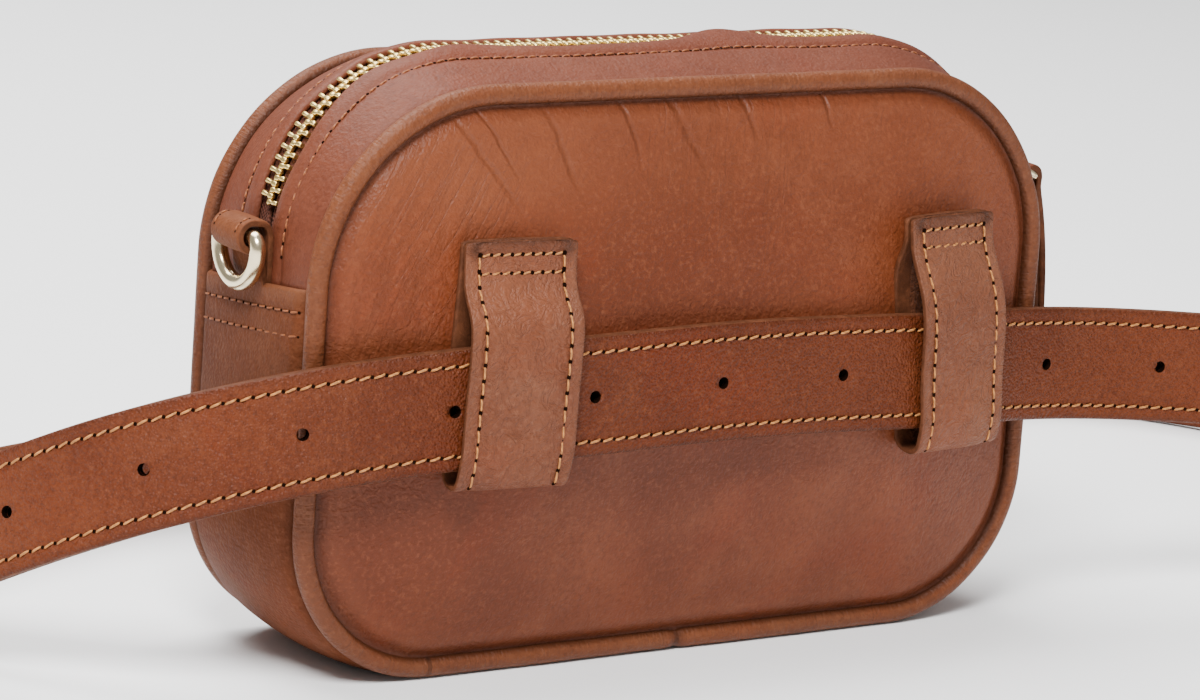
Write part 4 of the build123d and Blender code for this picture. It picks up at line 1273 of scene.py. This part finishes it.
class WAISTPACK_OT_loops(bpy.types.Operator):
    """The two belt loops: folded strips, boxed by stitches at the top."""

    bl_idname = "waistpack.loops"
    bl_label = "Belt loops"

    def execute(self, context):
        made = materials(context)
        sewing = Sewing()
        line = BeltLine()
        loops = (("left", -56.5, -6.5, -1.6, 27.6), ("right", 66.0, 8.7, 3.4, 27.2))
        for name, x, turn, sway, width in loops:
            dense = line.dense[(line.dense[:, 1] < -20)]
            near = dense[np.abs(dense[:, 0] - x).argmin()]
            belt_y, belt_z = near[1], near[2]
            q = math.radians(turn)
            out = np.array([math.sin(q), -math.cos(q), 0.0])
            along = np.array([math.cos(q), math.sin(q), 0.0])
            up = np.array([0.0, 0.0, 1.0])
            middle = np.array([x, belt_y, 0.0]) + out * belt_y
            seat = RIM_Y + float(bulge(HALF_WIDTH - abs(x)))
            back = seat + 0.15
            front = -belt_y + BELT_PLY + 2.3
            top_v = RIM_Y + float(bulge(HEIGHT - 94.0)) + 2.6
            low = belt_z - BELT_HALF - 3.0
            high = belt_z + BELT_HALF
            r = (front - back) / 2
            path = [(top_v, LOOP_TOP_Z), (top_v + 0.15, 99.0), (top_v + 0.5, 95.5), (top_v + 1.6, 91.8)]
            path += [(front - 1.0, high + 5.5), (front - 0.1, high + 1.0), (front, belt_z + 4.0),
                     (front, belt_z - 5.0), (front - 0.1, low + 4.5), (front - 0.9, low + 1.0)]
            path += [(back + r + r * 0.8 * math.cos(t), low + 0.6 - 2.6 * math.sin(t))
                     for t in np.radians((35, 90, 145))]
            path += [(back + 0.35, low + 2.4), (back, low + 8), (back - 0.1, belt_z),
                     (back - 0.55, high), (back - 0.1, 92.0), (top_v - 1.9, 96.0),
                     (top_v - 1.95, LOOP_TOP_Z)]
            dense, lengths, at, _ = spline([(v, z, 0) for v, z in path], 1.2, (0, 1, 0))
            points = sampled(at, lengths, dense[:, :2])
            tangent = unit(np.gradient(points, axis=0))
            v_out, z_out = -tangent[:, 1], tangent[:, 0]
            outward = out * v_out[:, None] + up * z_out[:, None]
            if v_out[len(points) // 5] < 0:
                outward = -outward
            drop = np.clip((LOOP_TOP_Z - points[:, 1]) / 52.0, 0, 1.1)
            slide = sway * (drop ** 1.2 - 0.5)
            origin = middle + out * points[:, :1] + along * slide[:, None] + up * points[:, 1:]
            dips = [(place, 0.3, 0.9) for place in (LOOP_ROW - width / 2, width / 2 - LOOP_ROW)]
            section, cut = plate_section(width / 2, -0.6, 0.75, 0.6, 0.3, 0.1, dips)
            piece = sweep_plate("leather_belt_loop_" + name, origin, outward, along, section, cut,
                                [made["loop"], made["edge"]])
            count = len(section)
            from_top = np.repeat(np.minimum(lengths[-1] - at, at), count)
            side = width / 2 - np.abs(np.tile(section[:, 0], len(at)))
            corner = 1.1 * hill(from_top, 2.0, 2.0) * hill(side, 2.4, 1.8)
            rub = 0.35 * hill(side, 0.0, 0.8)
            band = 0.5 * (from_top < 2.9)
            shade = np.clip(np.maximum.reduce([band, hill(from_top, 0.0, 0.9), corner, rub]), 0, 1)
            lump = rough_field(np.array([v.co / MM for v in piece.data.vertices]), 17.0, 6.0 * turn)
            move = np.repeat(outward, count, 0)
            move = np.concatenate([move, np.zeros((len(piece.data.vertices) - len(move), 3))])
            fade = np.clip(np.repeat(at, count) / 12.0, 0, 1) * (np.repeat(at, count) < lengths[-1] * 0.5)
            new = np.array([v.co for v in piece.data.vertices]) + move * (lump * 0.45 * fade)[:, None] * MM
            piece.data.vertices.foreach_set("co", new.ravel())
            # Lighter at the side edges, and painted light on the upper front of the loop, which faces the
            # light.
            worn = 0.25 * hill(side, 0.0, 2.0) + 0.5 * hill(from_top, 11.0, 9.0)
            carry(piece, worn=worn, shade=shade)
            soften(piece)
            finish(piece, "bag", ["belt_loop_" + name])
            self.sew(sewing, origin, outward, along, at, width, low)
        sewing.make("stitches_loops", "bag", made)
        return {"FINISHED"}

    def sew(self, sewing, origin, outward, across, at, width, low):
        """Side rows down the front layer, and the box across the top."""
        def spot(distance, side):
            where = sampled(distance, at, origin)
            push = sampled(distance, at, outward)
            return where + push * 0.63 + across * side, push

        bottom = float(at[np.argmin(origin[: len(origin) // 2, 2] > low + 1.0)])
        down = np.linspace(3.2, bottom + 1.5, 60)
        for side in (LOOP_ROW - width / 2, width / 2 - LOOP_ROW):
            path, push = spot(down, side)
            sewing.row(path, push, 3.6, 0.86, 0.26, 4.0, 0.58)
        span = np.linspace(-(width / 2 - 3.6), width / 2 - 3.6, 14)
        for distance in (3.2, 7.4):
            path, push = spot(np.full(14, distance), 0.0)
            path = path + across * span[:, None] + push * 0.12
            sewing.row(path, push, 2.7, 0.8, 0.25, 16.0, 0.55)


def rounded_loop(left, right, low, high, corner, arc_points, step):
    """A closed line round a rectangle with round corners, its sides cut into steps."""
    middles = ((right - corner, high - corner), (left + corner, high - corner),
               (left + corner, low + corner), (right - corner, low + corner))
    path = []
    for n, (u, v) in enumerate(middles):
        path += arc(u, v, corner, *np.radians((90 * n, 90 * n + 90)), arc_points)
    full = []
    for a, b in zip(path, path[1:] + path[:1]):
        steps = max(int(math.dist(a, b) / step), 1)
        full += [tuple(p + (q - p) * s / steps for p, q in zip(a, b)) for s in range(steps)]
    return np.array(full)


class WAISTPACK_OT_buckle(bpy.types.Operator):
    """The wire buckle, its prong and the leather keeper."""

    bl_idname = "waistpack.buckle"
    bl_label = "Buckle and keeper"

    def execute(self, context):
        made = materials(context)
        x0, y0, z0 = BAR
        low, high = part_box("buckle_frame")
        wire = (high.y - low.y) / 2 / MM
        left, right = low.x / MM + wire, high.x / MM - wire
        down, up = low.z / MM + wire, high.z / MM - wire
        full = rounded_loop(left, right, down, up, 3.35, 9, 1.5)
        path = space(full[:, 0], y0, full[:, 1])
        frame_piece = tube("gold_buckle_frame", path, wire, made["gold"], True, 24)
        finish(frame_piece, "buckle", ["buckle_frame"])
        low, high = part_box("buckle_prong")
        end = low.x / MM
        level = high.y / MM - 1.3
        turn = [(x, y, z0) for x, y in arc(x0, y0, 3.0, *np.radians((-200, 70)), 30)]
        shaft = [(x, level - 0.25 * math.sin((x - end) / (x0 - end) * math.pi), z0)
                 for x in np.linspace(x0 - 1.5, end + 1.3, 26)]
        path = turn + shaft + [(end + 0.7, level, z0), (end + 0.25, level, z0)]
        radius = np.r_[np.full(len(turn), 1.05), np.linspace(1.25, 1.2, len(shaft)), 1.0, 0.6]
        prong = tube("gold_buckle_prong", path, radius, made["gold"], False, 20)
        finish(prong, "prong", ["buckle_prong"])
        low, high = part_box("belt_keeper")
        thick, middle = 1.5, (low.x + high.x) / 2 / MM
        y_in, y_out = low.y / MM + thick / 2, high.y / MM - thick / 2
        z_in, z_out = low.z / MM + thick / 2, high.z / MM - thick / 2
        full = rounded_loop(y_in, y_out, z_in, z_out, 1.3, 6, 1.6)
        tangent = unit(np.roll(full, -1, 0) - np.roll(full, 1, 0))
        outward = space(0.0, tangent[:, 1], -tangent[:, 0])
        origin = space(middle, full[:, 0], full[:, 1])
        keeper = strip("leather_keeper", origin, outward, (1.0, 0.0, 0.0),
                       (KEEPER_HALF, -0.4, 0.75, 0.5, 0.3, 0.1), [made["belt"], made["edge"]], closed=True)
        carry(keeper, worn=0.1, shade=0.0)
        soften(keeper)
        finish(keeper, "keeper", ["belt_keeper"])
        return {"FINISHED"}


class WAISTPACK_OT_inside(bpy.types.Operator):
    """Cloth, board and cord finishes for the pieces inside the pack."""

    bl_idname = "waistpack.inside"
    bl_label = "Inside pieces"

    def execute(self, context):
        made = materials(context)
        finishes = {"back_lining": "lining", "front_lining": "lining", "gusset_lining": "lining",
                    "base_board": "board", "back_piping_cord": "cord", "front_piping_cord": "cord"}
        for node, key in finishes.items():
            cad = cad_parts[node]
            cad.data.materials.clear()
            cad.data.materials.append(made[key])
        return {"FINISHED"}


class WAISTPACK_OT_stage(bpy.types.Operator):
    """Pale floor, soft lights and the camera."""

    bl_idname = "waistpack.stage"
    bl_label = "Stage"

    def execute(self, context):
        floor_paint = Surface("floor_paper")
        cloud = floor_paint.noise(3.0, 2.0)
        floor_paint.set("Base Color", floor_paint.mix(cloud, (0.90, 0.90, 0.90), (0.93, 0.93, 0.93)))
        floor_paint.set("Roughness", 0.9)
        size = 40000.0
        corners = [(-size, -size, 0), (size, -size, 0), (size, size, 0), (-size, size, 0)]
        floor = make_mesh("floor", corners, [[0, 1, 2, 3]], [floor_paint.material], smooth=False)
        world = bpy.data.worlds.new("studio")
        world.use_nodes = True
        sky = world.node_tree.nodes["Background"].inputs
        sky["Color"].default_value = (1.0, 1.0, 1.0, 1.0)
        sky["Strength"].default_value = 0.42
        context.scene.world = world
        self.light(context, "key", (-0.55, -0.6, 1.0), (-0.03, 0.0, 0.08), 0.4, 28.0)
        self.light(context, "top", (-0.1, 0.6, 1.3), (0.0, 0.4, 0.0), 1.2, 46.0)
        self.light(context, "fill", (0.9, -0.9, 0.35), (0.05, 0.0, 0.06), 0.9, 2.0)
        turn, lift, roll = 0.608, 0.217, 0.072
        flat = math.cos(lift)
        back = Vector((-math.sin(turn) * flat, -math.cos(turn) * flat, math.sin(lift)))
        right = Vector((math.cos(turn), -math.sin(turn), 0.0))
        up = back.cross(right)
        x_axis = right * math.cos(roll) + up * math.sin(roll)
        y_axis = up * math.cos(roll) - right * math.sin(roll)
        camera = bpy.data.objects.new("camera", bpy.data.cameras.new("camera"))
        context.scene.collection.objects.link(camera)
        camera.data.lens = 146.5
        camera.data.sensor_width = 36.0
        camera.data.dof.use_dof = False
        place = Vector((-0.0068, 0.0, 0.0663)) + back * 1.133
        axes = Matrix((x_axis, y_axis, back)).transposed().to_4x4()
        camera.matrix_world = Matrix.Translation(place) @ axes
        context.scene.camera = camera
        return {"FINISHED"}

    def light(self, context, name, place, target, size, power):
        """One square soft light, facing a point."""
        data = bpy.data.lights.new(name, "AREA")
        data.shape = "SQUARE"
        data.size = size
        data.energy = power
        made = bpy.data.objects.new(name, data)
        made.location = place
        made.rotation_euler = (Vector(place) - Vector(target)).to_track_quat("Z", "Y").to_euler()
        context.scene.collection.objects.link(made)


STEPS = (
    WAISTPACK_OT_panels, WAISTPACK_OT_piping, WAISTPACK_OT_gusset, WAISTPACK_OT_strips,
    WAISTPACK_OT_zip, WAISTPACK_OT_rings, WAISTPACK_OT_pull, WAISTPACK_OT_belt,
    WAISTPACK_OT_loops, WAISTPACK_OT_buckle, WAISTPACK_OT_inside, WAISTPACK_OT_stage,
)


class WAISTPACK_PT_sidebar(bpy.types.Panel):
    """Buttons for each piece, and the settings they use."""

    bl_idname = "WAISTPACK_PT_sidebar"
    bl_label = "Waist Pack"
    bl_space_type = "VIEW_3D"
    bl_region_type = "UI"
    bl_category = "Waist Pack"

    def draw(self, context):
        settings = context.scene.waist_pack
        column = self.layout.column()
        for name in ("tone", "stitch", "slack", "softness", "zip_cover"):
            column.prop(settings, name)
        for step in STEPS:
            column.operator(step.bl_idname)


CLASSES = (PackSettings, *STEPS, WAISTPACK_PT_sidebar)


def register():
    for item in CLASSES:
        bpy.utils.register_class(item)
    bpy.types.Scene.waist_pack = bpy.props.PointerProperty(type=PackSettings)


def unregister():
    del bpy.types.Scene.waist_pack
    for item in reversed(CLASSES):
        bpy.utils.unregister_class(item)


def main():
    register()
    for step in STEPS:
        group, name = step.bl_idname.split(".")
        getattr(getattr(bpy.ops, group), name)()


if __name__ == "__main__":
    main()
